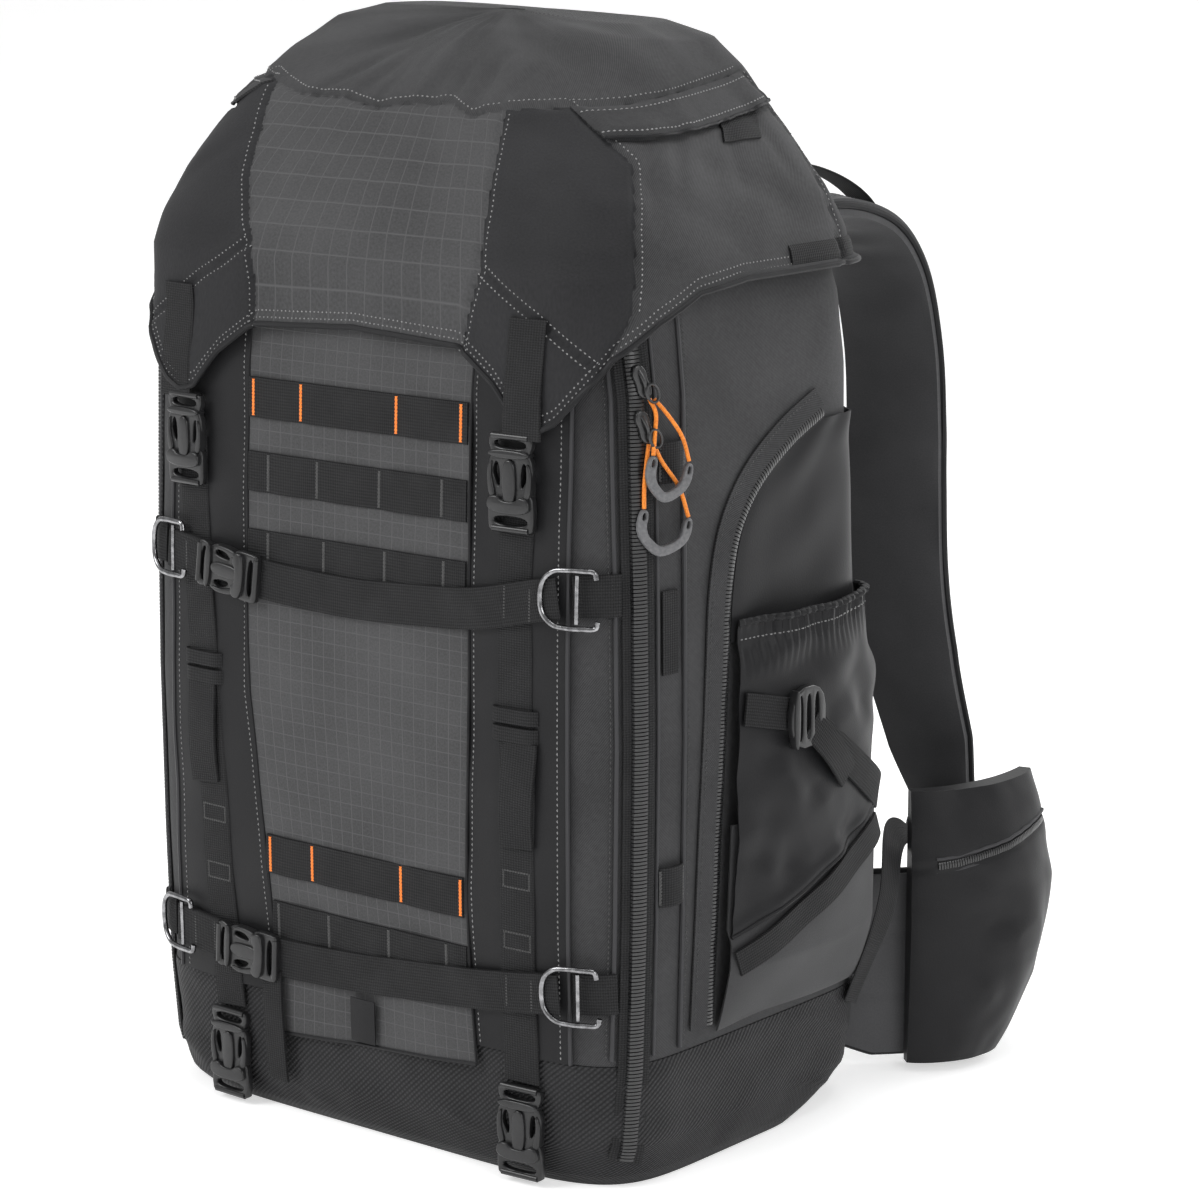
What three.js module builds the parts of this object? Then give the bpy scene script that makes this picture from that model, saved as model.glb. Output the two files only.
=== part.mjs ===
import * as THREE from "three";

// A large camera backpack, standing on its base with the harness behind it.
// Millimetres, +Z up, front towards -Y. The body is a stack of rounded plan
// sections, and every panel, zip, strap and fitting is placed by its distance
// around that body and its height, so it follows the body's sizes.

// Body and lid
const BODY_HEIGHT = 552;
const HALF_WIDTH = 201;
const FRONT_DEPTH = 147;
const BACK_DEPTH = 134;
const SHELL_WALL = 6;
const BOOT_HEIGHT = 80;
const BOOT_WALL = 5;
const LID_OVERLAP = 5;
const LID_RIM = BODY_HEIGHT - LID_OVERLAP;
const LID_RISE = 146;
const LID_LEAN = 7;
const LID_WALL = 2.2;
const LID_CLEARANCE = 5.2;
const SEAM_GAP = 0.3;
const SKIN_GAP = 0.6;
const LAYER_GAP = 0.5;
const FABRIC = 1.4;

// Front panels and webbing
const PANEL_HALF = 91;
const PANEL_BOTTOM = 62;
const PANEL_HEIGHT = 470;
const BAND_WIDTH = 71;
const WEBBING = 25;
const WEBBING_THICK = 1.5;
const ROW_UPPER = 459.5;
const ROW_MIDDLE = 413.5;
const ROW_LOWER = 171.5;
const ROW_INSET = 2;
const LID_STRAP_SEAM = 22;
const ANCHOR_GAP = 4;
const STRAP_SPREAD_TOP = 133;
const STRAP_SPREAD_BASE = 121;
const STRAP_DRIFT = 7;
const CROSS_LOWER = 112;
const HOOK_SPREAD = 161;
const HOOK_WIDTH = 28;
const HOOK_HEIGHT = 34;
const HOOK_WIRE = 3.4;
const CROSS_BUCKLE_UPPER = 101;
const CROSS_BUCKLE_LOWER = 91;

// Buckles
const BUCKLE_WIDTH = 33;
const BUCKLE_LENGTH = 58;
const BUCKLE_THICK = 8;
const LID_BUCKLE_DROP = 118;
const CROSS_DROP = 83;
const BASE_BUCKLE_HEIGHT = 33;
const BASE_BUCKLE_SEAT = 1.9;
const LID_BUCKLE_HEIGHT = LID_RIM - LID_BUCKLE_DROP;
const CROSS_UPPER = LID_BUCKLE_HEIGHT - CROSS_DROP;
const STRAP_TOP = LID_BUCKLE_HEIGHT + 2 * LAYER_GAP;

// Zips
const MAIN_ZIP = 118;
const MAIN_ZIP_BOTTOM = 16;
const MAIN_ZIP_HEAD = 14;
const MAIN_ZIP_TOP = BODY_HEIGHT - MAIN_ZIP_HEAD;
const MAIN_TAPE = 20;
const MAIN_COIL = 8;
const SIDE_TAPE = 15;
const SIDE_COIL = 6;
const COIL_HEIGHT = 2.4;
const TAPE_THICK = 1;

// Side pockets
const POCKET_BOTTOM = 86;
const POCKET_TOP = 338;
const POCKET_BACK = 108;
const POCKET_BULGE = 20;
const POCKET_WALL = 2;
const SIDE_STRAP_WIDTH = 20;
const STRAP_CLEAR = 1.2;
const SIDE_STRAP_START = 287;
const SIDE_STRAP_DIP = 0.14;
const SIDE_STRAP_END = 205;
const LADDER_LENGTH = 34;
const LADDER_WIDTH = 30;
const LADDER_THICK = 5;
const LADDER_SEAT = 2.4;

// Back and harness
const BACK_PANEL_BOTTOM = 168;
const BACK_PANEL_TOP = 512;
const BACK_PANEL_HALF = 140;
const BACK_PANEL_THICK = 18;
const LUMBAR_BOTTOM = 34;
const LUMBAR_HALF = 118;
const LUMBAR_THICK = 26;
const SHOULDER_WIDTH = 72;
const SHOULDER_THICK = 17;
const SHOULDER_ROOT = 528;
const SHOULDER_DROP = 383;
const SHOULDER_REACH = 184;
const SHOULDER_SPREAD = 64;
const SHOULDER_TWIST = 4;
const SHOULDER_SEAT = 4.2;
const WING_SEAT = 8;
const WING_CLEAR = 3.2;
const HARNESS_STRAP = 20;
const WING_BOTTOM = 10;
const WING_HEIGHT = 122;
const WING_THICK = 13;
const WING_REACH = 80;
const WING_DEPTH = 158;
const HIP_POCKET_BOTTOM = 6;
const HIP_POCKET_HEIGHT = 184;
const HIP_POCKET_THICK = 27;
const HIP_POCKET_START = 0.42;
const LIFTER_ROOT = 45;
const LOWER_STRAP_END = 68;
const LOWER_STRAP_BEHIND = 96;
const LOWER_STRAP_SEAT = 3.4;
const LOWER_STRAP_OVER = 16;
const LOWER_STRAP_BOW = 8;
const HANDLE_HEIGHT = 529;
const HANDLE_SPAN = 50;
const HANDLE_RISE = 34;
const HANDLE_THICK = 5;
const HANDLE_WIDTH = 22;

// Zip pulls on cords
const PULL_CORD = 2.5;
const HOOP_HEIGHT = 25;
const HOOP_BAR = 6;
const HOOP_THICK = 4;
const HOOP_TILT = -14;

const DEG = Math.PI / 180;
const vec = (x, y, z) => new THREE.Vector3(x, y, z);
const mix = (a, b, t) => a + (b - a) * t;
const byNumber = (a, b) => a - b;
const clamp01 = (t) => Math.min(1, Math.max(0, t));
const hump = (t) => Math.sin(Math.PI * clamp01(t));
const steps = (count) => Array.from({ length: count + 1 }, (_, i) => i / count);

// A table's value at a position, joined by straight lines; `column` names the value.
function lookUp(rows, at, column, key) {
  const above = rows.findIndex((row) => row[key] >= at);
  if (above <= 0) return rows[above < 0 ? rows.length - 1 : 0][column];
  const [a, b] = [rows[above - 1], rows[above]];
  return mix(a[column], b[column], (at - a[key]) / (b[key] - a[key]));
}

// Plan sections of the body, bottom to top, as shares of the sizes above.
// `square` is the exponent of the rounded plan: 2 is an oval, more is boxier.
const BODY_SECTIONS = [
  { up: 0.0, wide: 0.935, front: 0.905, back: 0.52, square: 6 },
  { up: 0.012, wide: 0.955, front: 0.945, back: 0.64, square: 6 },
  { up: 0.05, wide: 0.972, front: 0.972, back: 0.96, square: 6.5 },
  { up: 0.14, wide: 0.985, front: 0.985, back: 1.0, square: 7 },
  { up: 0.3, wide: 0.995, front: 0.995, back: 0.97, square: 7 },
  { up: 0.5, wide: 1.0, front: 1.0, back: 0.92, square: 7 },
  { up: 0.65, wide: 0.997, front: 0.992, back: 0.86, square: 7 },
  { up: 0.87, wide: 0.987, front: 0.965, back: 0.83, square: 7 },
  { up: 0.95, wide: 0.965, front: 0.93, back: 0.815, square: 7 },
  { up: 1.0, wide: 0.93, front: 0.885, back: 0.805, square: 6.5 },
];

// Plan sections of the lid's outside above its rim, as shares of the body's
// widths and depths; `up` is a share of the lid's rise.
const LID_SECTIONS = [
  { up: 0.0, wide: 1.0, front: 0.985, back: 0.83, square: 7 },
  { up: 0.12, wide: 0.985, front: 0.955, back: 0.825, square: 6.5 },
  { up: 0.3, wide: 0.935, front: 0.87, back: 0.775, square: 6 },
  { up: 0.5, wide: 0.86, front: 0.745, back: 0.68, square: 5.5 },
  { up: 0.66, wide: 0.775, front: 0.645, back: 0.61, square: 5.5 },
  { up: 0.8, wide: 0.715, front: 0.46, back: 0.56, square: 5 },
  { up: 0.92, wide: 0.64, front: 0.23, back: 0.49, square: 4.5 },
  { up: 0.985, wide: 0.5, front: 0.07, back: 0.38, square: 4 },
];

// The lid's lower edge, from the front centre (around 0) to the back (around 1),
// as shares of the rim height: two tabs reach down to the front straps.
const RIM_DROPS = [
  { around: 0.0, level: 0.93 },
  { around: 0.13, level: 0.922 },
  { around: 0.172, level: 0.887 },
  { around: 0.203, level: 0.845 },
  { around: 0.222, level: 0.84 },
  { around: 0.24, level: 0.85 },
  { around: 0.3, level: 0.92 },
  { around: 0.345, level: 0.955 },
  { around: 0.4, level: 0.982 },
  { around: 0.47, level: 0.991 },
  { around: 1.0, level: 0.994 },
];

// The heights between two ends at which the body's sections change, with others
// that a piece needs.
function levelsBetween(low, high, extra = []) {
  const turns = BODY_SECTIONS.map((row) => row.up * BODY_HEIGHT);
  const inside = [...turns, ...extra].filter((z) => z > low + 2 && z < high - 2).sort(byNumber);
  return [low, ...inside.filter((z, i) => i === 0 || z - inside[i - 1] > 1), high];
}

function plan(sections, up) {
  const value = (column) => lookUp(sections, up, column, "up");
  return {
    wide: HALF_WIDTH * value("wide"),
    front: FRONT_DEPTH * value("front"),
    back: BACK_DEPTH * value("back"),
    square: value("square"),
  };
}

// A point of a plan section in the direction of `angle`, from the front centre
// (-90 degrees) round by +X to the back (+90 degrees).
function planPoint(section, angle, grow = 0) {
  const [c, s] = [Math.cos(angle), Math.sin(angle)];
  const deep = (s < 0 ? section.front : section.back) + grow;
  const n = section.square;
  const reach = (Math.abs(c) / (section.wide + grow)) ** n + (Math.abs(s) / deep) ** n;
  const radius = reach ** (-1 / n);
  return { x: radius * c, y: radius * s };
}

// Directions round a plan, closer together where its corners turn.
const CORNER_BIAS = 3.2;
const SPOKES = 44;
const spokeAngle = (i) => {
  const turn = (2 * Math.PI * i) / SPOKES - Math.PI / 2;
  const bend = (v) => Math.sign(v) * Math.abs(v) ** (2 / CORNER_BIAS);
  return Math.atan2(bend(Math.sin(turn)) * FRONT_DEPTH, bend(Math.cos(turn)) * HALF_WIDTH);
};

// Half of the body's outline at a height, with the distance run from the front
// centre; kept, because many pieces ask for the same heights.
const HALF_STEPS = 240;
const girths = new Map();
function girthAt(z) {
  const key = z.toFixed(3);
  if (girths.has(key)) return girths.get(key);
  const section = plan(BODY_SECTIONS, z / BODY_HEIGHT);
  const points = steps(HALF_STEPS).map((t) => planPoint(section, (t - 0.5) * Math.PI));
  const run = [0];
  for (let i = 1; i < points.length; i++) {
    const [a, b] = [points[i - 1], points[i]];
    run.push(run[i - 1] + Math.hypot(b.x - a.x, b.y - a.y));
  }
  const quarter = run[HALF_STEPS / 2];
  const girth = { points, run, quarter, total: run[HALF_STEPS] };
  girths.set(key, girth);
  return girth;
}

// Places on the body, each a distance from the front centre line, from the
// middle of a side (positive towards the back) or from the back centre line.
const fromFront = (d) => () => d;
const fromFlank = (side, d) => (girth) => side * (girth.quarter + d);
const fromRear = (side, d) => (girth) => side * (girth.total - d);

// The point on the body's outside at a signed distance round it and a height,
// with the directions along the body and out of it.
function skin(around, z, lift = 0) {
  const girth = girthAt(z);
  const side = around < 0 ? -1 : 1;
  const far = Math.min(Math.abs(around), girth.total);
  let i = girth.run.findIndex((run) => run >= far);
  i = Math.max(1, i);
  const [a, b] = [girth.points[i - 1], girth.points[i]];
  const t = (far - girth.run[i - 1]) / (girth.run[i] - girth.run[i - 1]);
  const along = vec(b.x - a.x, side * (b.y - a.y), 0).normalize();
  const out = vec(b.y - a.y, side * (a.x - b.x), 0).normalize();
  const outward = vec(side * out.x, side * out.y, 0);
  const point = vec(side * mix(a.x, b.x, t), mix(a.y, b.y, t), z);
  return { point: point.addScaledVector(outward, lift), along, outward };
}

// A closed body from faces given as corner numbers; turned right side out.
function closedBody(points, faces) {
  let volume = 0;
  for (const [a, b, c] of faces) {
    volume += points[a].dot(points[b].clone().cross(points[c]));
  }
  const index = faces.flatMap(([a, b, c]) => (volume < 0 ? [a, c, b] : [a, b, c]));
  const geometry = new THREE.BufferGeometry().setFromPoints(points);
  geometry.setIndex(index);
  geometry.computeVertexNormals();
  return geometry;
}

// A body from closed rings of points, one above the other: capped at both ends,
// or with the last ring joined to the first as a tube wall.
function ringBody(rings, joined = false) {
  const count = rings[0].length;
  const points = rings.flat();
  const faces = [];
  const last = joined ? rings.length : rings.length - 1;
  for (let r = 0; r < last; r++) {
    const [low, high] = [r * count, ((r + 1) % rings.length) * count];
    for (let i = 0; i < count; i++) {
      const j = (i + 1) % count;
      const rising = points[low + i].distanceTo(points[high + j]);
      const falling = points[low + j].distanceTo(points[high + i]);
      if (rising < falling) faces.push([low + i, low + j, high + j], [low + i, high + j, high + i]);
      else faces.push([low + i, low + j, high + i], [low + j, high + j, high + i]);
    }
  }
  if (!joined) {
    for (const [ring, first] of [[0, 0], [rings.length - 1, (rings.length - 1) * count]]) {
      const centre = new THREE.Vector3();
      rings[ring].forEach((p) => centre.add(p));
      const hub = points.push(centre.divideScalar(count)) - 1;
      for (let i = 0; i < count; i++) {
        const j = (i + 1) % count;
        faces.push(ring === 0 ? [hub, first + j, first + i] : [hub, first + i, first + j]);
      }
    }
  }
  return closedBody(points, faces);
}

// A sheet of cloth, pad or webbing: rows of points, each with an inner and an
// outer one, closed round its four edges.
function sheetBody(rows) {
  const count = rows[0].length;
  const size = rows.length * count;
  const points = [...rows.flat().map((p) => p.inner), ...rows.flat().map((p) => p.outer)];
  const at = (r, c) => r * count + c;
  const faces = [];
  const wall = (a, b) => faces.push([a, b, b + size], [a, b + size, a + size]);
  for (let r = 0; r < rows.length - 1; r++) {
    for (let c = 0; c < count - 1; c++) {
      const [a, b, d, e] = [at(r, c), at(r, c + 1), at(r + 1, c + 1), at(r + 1, c)];
      faces.push([a, d, b], [a, e, d]);
      faces.push([a + size, b + size, d + size], [a + size, d + size, e + size]);
    }
    wall(at(r + 1, 0), at(r, 0));
    wall(at(r, count - 1), at(r + 1, count - 1));
  }
  for (let c = 0; c < count - 1; c++) {
    wall(at(0, c), at(0, c + 1));
    wall(at(rows.length - 1, c + 1), at(rows.length - 1, c));
  }
  return closedBody(points, faces);
}

// Cloth laid on the body along a line of places and heights. The profile gives,
// across the line, each column's offset, its lift from the body and thickness.
function laidOn(line, profile) {
  const flat = line.map(({ place, z }) => ({ around: place(girthAt(z)), z }));
  const rows = flat.map((here, i) => {
    const before = flat[Math.max(0, i - 1)];
    const after = flat[Math.min(flat.length - 1, i + 1)];
    const [ds, dz] = [after.around - before.around, after.z - before.z];
    const length = Math.hypot(ds, dz);
    return profile(i / (flat.length - 1)).map(({ across, lift, thick }) => {
      const around = here.around + (across * dz) / length;
      const z = here.z - (across * ds) / length;
      return { inner: skin(around, z, lift).point, outer: skin(around, z, lift + thick).point };
    });
  });
  return sheetBody(rows);
}

const LAYER = {
  panel: SKIN_GAP,
  webbing: SKIN_GAP + FABRIC + LAYER_GAP,
  crossing: SKIN_GAP + FABRIC + 2 * LAYER_GAP + WEBBING_THICK,
};
LAYER.hardware = LAYER.crossing + WEBBING_THICK + LAYER_GAP;

const flatProfile = (width, lift, thick, columns = 2) => () =>
  steps(columns).map((t) => ({ across: mix(-width / 2, width / 2, t), lift, thick }));

// A straight or slanting run of webbing on the body.
function webbingRun(from, to, lift, columns, count, width = WEBBING) {
  const line = steps(count).map((t) => ({
    place: (girth) => mix(from.place(girth), to.place(girth), t),
    z: mix(from.z, to.z, t),
  }));
  return laidOn(line, flatProfile(width, lift, WEBBING_THICK, columns));
}

// A ribbon hung free of the body through hand-placed points.
function ribbon(points, width, thick, facing, count = 16) {
  const curve = new THREE.CatmullRomCurve3(points, false, "centripetal");
  const rows = steps(count).map((t) => {
    const centre = curve.getPoint(t);
    const side = facing(t).clone().cross(curve.getTangent(t)).normalize();
    const face = curve.getTangent(t).cross(side).normalize();
    return [-0.5, 0.5].map((edge) => {
      const p = centre.clone().addScaledVector(side, edge * width);
      return {
        inner: p.clone().addScaledVector(face, -thick / 2),
        outer: p.clone().addScaledVector(face, thick / 2),
      };
    });
  });
  return sheetBody(rows);
}

// Moves a flat fitting, drawn with X along the body and Y up, onto the body.
function fitOn(geometry, around, z, lift, spin = 0) {
  const { point, along, outward } = skin(around, z, lift);
  const upward = outward.clone().cross(along).normalize();
  const basis = new THREE.Matrix4().makeBasis(along, upward, outward).setPosition(point);
  return geometry.rotateZ(spin).applyMatrix4(basis);
}

function tube(points, diameter, sides, count) {
  const section = new THREE.Shape();
  for (let i = 0; i < sides; i++) {
    const turn = (2 * Math.PI * i) / sides;
    const [x, y] = [(Math.cos(turn) * diameter) / 2, (Math.sin(turn) * diameter) / 2];
    if (i === 0) section.moveTo(x, y);
    else section.lineTo(x, y);
  }
  section.closePath();
  const path = new THREE.CatmullRomCurve3(points, false, "centripetal");
  return new THREE.ExtrudeGeometry(section, { steps: count, bevelEnabled: false, extrudePath: path });
}

const polygon = (corners) => corners.map(([x, y]) => new THREE.Vector2(x, y));
const mirrored = (half) => [...half, ...half.map(([x, y]) => [-x, y]).reverse()];

const group = new THREE.Group();
const finishes = {
  twill: { color: 0x3d3d3f, roughness: 0.8, metalness: 0 },
  ripstop: { color: 0x4c4c4e, roughness: 0.72, metalness: 0 },
  smooth: { color: 0x1d1d1f, roughness: 0.82, metalness: 0 },
  boot: { color: 0x202022, roughness: 0.75, metalness: 0 },
  webbing: { color: 0x1a1a1b, roughness: 0.85, metalness: 0 },
  coil: { color: 0x101011, roughness: 0.4, metalness: 0 },
  plastic: { color: 0x1c1c1d, roughness: 0.45, metalness: 0 },
  steel: { color: 0x6d6d70, roughness: 0.3, metalness: 1 },
  padding: { color: 0x4a4a4c, roughness: 0.8, metalness: 0 },
  mesh: { color: 0x222224, roughness: 0.9, metalness: 0 },
  cord: { color: 0xf28a22, roughness: 0.7, metalness: 0 },
  rubber: { color: 0x77787a, roughness: 0.65, metalness: 0 },
};
function add(name, finish, geometry) {
  const mesh = new THREE.Mesh(geometry, new THREE.MeshStandardMaterial(finishes[finish]));
  mesh.name = name;
  group.add(mesh);
}
const SIDES = [["left", -1], ["right", 1]];

// One ring of the body's plan, grown or shrunk by an offset.
function bodyRing(z, grow = 0) {
  const section = plan(BODY_SECTIONS, z / BODY_HEIGHT);
  return Array.from({ length: SPOKES }, (_, i) => {
    const p = planPoint(section, spokeAngle(i), grow);
    return vec(p.x, p.y, z);
  });
}

// Boot: the coarse tray that the bag stands on.
function bootTray() {
  const rise = BOOT_HEIGHT - SEAM_GAP;
  const levels = [0, 0.012 * BODY_HEIGHT, 0.35 * rise, 0.7 * rise, rise];
  const outside = levels.map((z) => bodyRing(z));
  const inside = [rise, 0.7 * rise, 0.35 * rise, BOOT_WALL].map((z) => bodyRing(z, -BOOT_WALL));
  return ringBody([...outside, ...inside]);
}

// Main shell: the padded wall between the boot and the lid, open inside.
function mainShell() {
  const inRange = BODY_SECTIONS.map((row) => row.up * BODY_HEIGHT).filter((z) => z > BOOT_HEIGHT + 5);
  const levels = [BOOT_HEIGHT, ...inRange];
  const outside = levels.map((z) => bodyRing(z));
  const inner = levels.filter((z, i) => i % 2 === 0 || i === levels.length - 1);
  const inside = inner.map((z) => bodyRing(z, -SHELL_WALL)).reverse();
  return ringBody([...outside, ...inside], true);
}

// Lid: a domed cover, open underneath, with its rim over the shell.
function lidPoint(angle, up, grow) {
  const p = planPoint(plan(LID_SECTIONS, up), angle, grow);
  const lean = (LID_LEAN * up * -p.x) / HALF_WIDTH;
  return vec(p.x, p.y, LID_RIM + LID_RISE * up + lean);
}
function rimLevel(angle) {
  const half = Math.abs(Math.atan2(Math.cos(angle), -Math.sin(angle)));
  const p = planPoint(plan(BODY_SECTIONS, 1), half - Math.PI / 2);
  const girth = girthAt(BODY_HEIGHT);
  const near = girth.points.findIndex((q) => q.x * p.y <= q.y * p.x + 1e-9 && q.x * p.x + q.y * p.y > 0);
  return LID_RIM * lookUp(RIM_DROPS, girth.run[Math.max(0, near)] / girth.total, "level", "around");
}
function skirtPoint(angle, share, inward) {
  const level = rimLevel(angle);
  const z = mix(level, LID_RIM, share);
  const below = plan(BODY_SECTIONS, Math.min(z, BODY_HEIGHT * 0.93) / BODY_HEIGHT);
  const over = planPoint(below, angle, LID_CLEARANCE + LID_WALL - inward);
  const start = planPoint(plan(LID_SECTIONS, 0), angle, -inward);
  const blend = share * share;
  return vec(mix(over.x, start.x, blend), mix(over.y, start.y, blend), z);
}
function lidCover() {
  const angles = Array.from({ length: SPOKES }, (_, i) => spokeAngle(i));
  const skirt = [0, 0.35, 0.7];
  const rises = LID_SECTIONS.map((row) => row.up);
  const outside = [
    ...skirt.map((share) => angles.map((a) => skirtPoint(a, share, 0))),
    ...rises.map((up) => angles.map((a) => lidPoint(a, up, 0))),
  ];
  const inside = [
    ...skirt.map((share) => angles.map((a) => skirtPoint(a, share, LID_WALL))),
    ...rises.map((up) => angles.map((a) => {
      const p = lidPoint(a, up, -LID_WALL);
      p.z -= LID_WALL * up;
      return p;
    })),
  ];
  return ringBody([...inside.reverse(), ...outside]);
}

// Front panel: a lighter centre panel whose lower end is a loose flap.
const PANEL_EDGES = [
  { up: 0.0, left: 0.8, right: 1.04 },
  { up: 0.09, left: 0.8, right: 1.0 },
  { up: 0.25, left: 0.88, right: 0.96 },
  { up: 0.45, left: 1.0, right: 1.0 },
  { up: 1.0, left: 1.0, right: 1.0 },
];
const panelEdge = (up, column) => PANEL_HALF * lookUp(PANEL_EDGES, up, column, "up");
const panelTurns = PANEL_EDGES.map((row) => PANEL_BOTTOM + PANEL_HEIGHT * row.up);
function frontPanel() {
  const top = PANEL_BOTTOM + PANEL_HEIGHT;
  const rows = levelsBetween(PANEL_BOTTOM, top, panelTurns).map((z) => {
    const up = (z - PANEL_BOTTOM) / PANEL_HEIGHT;
    const [from, to] = [-panelEdge(up, "left"), panelEdge(up, "right")];
    return steps(6).map((t) => {
      const around = mix(from, to, t);
      return {
        inner: skin(around, z, LAYER.panel).point,
        outer: skin(around, z, LAYER.panel + FABRIC).point,
      };
    });
  });
  return sheetBody(rows);
}

// Side bands: smooth dark strips between the centre panel and the corners.
function sideBand(side) {
  const column = side < 0 ? "left" : "right";
  const top = PANEL_BOTTOM + PANEL_HEIGHT;
  const rows = levelsBetween(BOOT_HEIGHT + SEAM_GAP, top, panelTurns).map((z) => {
    const up = (z - PANEL_BOTTOM) / PANEL_HEIGHT;
    const from = panelEdge(up, column) + LAYER_GAP;
    return steps(4).map((t) => {
      const around = side * mix(from, PANEL_HALF + BAND_WIDTH, t);
      return {
        inner: skin(around, z, LAYER.panel).point,
        outer: skin(around, z, LAYER.panel + FABRIC).point,
      };
    });
  });
  return sheetBody(rows);
}

// The upright straps lean outwards a little from the base to the lid.
const STRAP_BASE = BASE_BUCKLE_HEIGHT + BUCKLE_LENGTH / 2 + 4 * LAYER_GAP;
const strapFoot = (side) => side * STRAP_SPREAD_BASE + STRAP_DRIFT;
const strapHead = (side) => side * STRAP_SPREAD_TOP - STRAP_DRIFT;

// A strap laid over the lid's skirt, from its seam down to the buckle.
const LID_STRAP_LIFT = 1;
function lidStrap(side) {
  const tip = LID_BUCKLE_HEIGHT + BUCKLE_LENGTH / 2 + LAYER_GAP;
  const rows = steps(6).map((t) => {
    const z = mix(LID_RIM - LID_STRAP_SEAM, tip, t);
    return [-0.5, 0.5].map((edge) => {
      const under = skin(strapHead(side) + edge * WEBBING, z).point;
      const angle = Math.atan2(under.y, under.x);
      const level = rimLevel(angle);
      const share = clamp01((z - level) / (LID_RIM - level));
      const seat = skirtPoint(angle, share, -LID_STRAP_LIFT);
      const face = skirtPoint(angle, share, -LID_STRAP_LIFT - WEBBING_THICK);
      return { inner: seat.setZ(z), outer: face.setZ(z) };
    });
  });
  return sheetBody(rows);
}

// Side-release buckle: waisted body, two side windows and a webbing slot at
// each end. It is drawn flat with its length along Y.
function releaseBuckle() {
  const [w, l] = [BUCKLE_WIDTH / 2, BUCKLE_LENGTH / 2];
  const half = [
    [w * 0.85, -l], [w, -l * 0.92], [w, -l * 0.3], [w * 0.8, -l * 0.18], [w * 0.8, l * 0.02],
    [w * 0.95, l * 0.14], [w * 0.95, l * 0.4], [w * 0.78, l * 0.6], [w, l * 0.86], [w * 0.9, l],
  ];
  const outline = new THREE.Shape(polygon(mirrored(half)));
  const slot = (low, high, reach) => polygon([
    [-w * reach, l * low], [w * reach, l * low], [w * reach, l * high], [-w * reach, l * high],
  ]);
  outline.holes.push(new THREE.Path(slot(-0.84, -0.66, 0.76)), new THREE.Path(slot(0.72, 0.86, 0.72)));
  for (const side of [-1, 1]) {
    outline.holes.push(new THREE.Path(polygon([
      [side * w * 0.52, -l * 0.04], [side * w * 0.66, l * 0.1],
      [side * w * 0.76, l * 0.26], [side * w * 0.56, l * 0.4],
    ])));
  }
  return new THREE.ExtrudeGeometry(outline, { depth: BUCKLE_THICK, bevelEnabled: false });
}

// The crossing straps hang slack between their hooks: the strap's height above
// its nominal one, as shares of the webbing width, at shares of the hooks' spread.
const CROSS_DROOP = [
  { at: -1.3, upper: 0.52, lower: 0.05 }, { at: -1, upper: 0.5, lower: 0.0 },
  { at: -0.5, upper: 0.05, lower: -0.28 }, { at: 0, upper: -0.08, lower: -0.16 },
  { at: 0.6, upper: 0.16, lower: 0.2 }, { at: 1, upper: 0.8, lower: 0.55 },
  { at: 1.3, upper: 0.86, lower: 0.6 },
];
const crossBase = (level) => (level === "upper" ? CROSS_UPPER : CROSS_LOWER);
const anchorEnd = (level) => girthAt(crossBase(level)).quarter - MAIN_ZIP - MAIN_TAPE / 2 - 2 * LAYER_GAP;
const crossHeight = (level, around) => crossBase(level)
  + WEBBING * lookUp(CROSS_DROOP, around / HOOK_SPREAD, level, "at");
function crossRun(level, from, to, count, lift = LAYER.crossing) {
  const line = steps(count).map((t) => {
    const around = mix(from, to, t);
    return { place: fromFront(around), z: crossHeight(level, around) };
  });
  return laidOn(line, flatProfile(WEBBING, lift, WEBBING_THICK, 1));
}

// Gate hook: bent wire, round at its outer end, with two open tails.
function gateHook(side, z) {
  const lift = LAYER.crossing + WEBBING_THICK + LAYER_GAP + HOOK_WIRE / 2;
  const outline = [
    [0.62, 0.5], [0.2, 0.5], [-0.2, 0.46], [-0.44, 0.28], [-0.5, 0],
    [-0.44, -0.28], [-0.2, -0.46], [0.2, -0.5], [0.7, -0.5],
  ];
  const points = outline.map(([across, up]) => {
    const around = side * HOOK_SPREAD + across * HOOK_WIDTH;
    return skin(around, z + up * HOOK_HEIGHT, lift).point;
  });
  return tube(points, HOOK_WIRE, 5, 12);
}

// Zip: two flat tapes with the raised coil between them.
const zipProfile = (tape, coil, lift) => () => [
  { across: -tape / 2, lift, thick: TAPE_THICK },
  { across: -coil / 2, lift, thick: TAPE_THICK },
  { across: -coil / 4, lift, thick: TAPE_THICK + COIL_HEIGHT },
  { across: coil / 4, lift, thick: TAPE_THICK + COIL_HEIGHT },
  { across: coil / 2, lift, thick: TAPE_THICK },
  { across: tape / 2, lift, thick: TAPE_THICK },
];
function mainZip(side) {
  const line = levelsBetween(MAIN_ZIP_BOTTOM, MAIN_ZIP_TOP).map((z) => ({
    place: fromFlank(side, -MAIN_ZIP),
    z,
  }));
  return laidOn(line, zipProfile(MAIN_TAPE, MAIN_COIL, SKIN_GAP));
}

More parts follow.
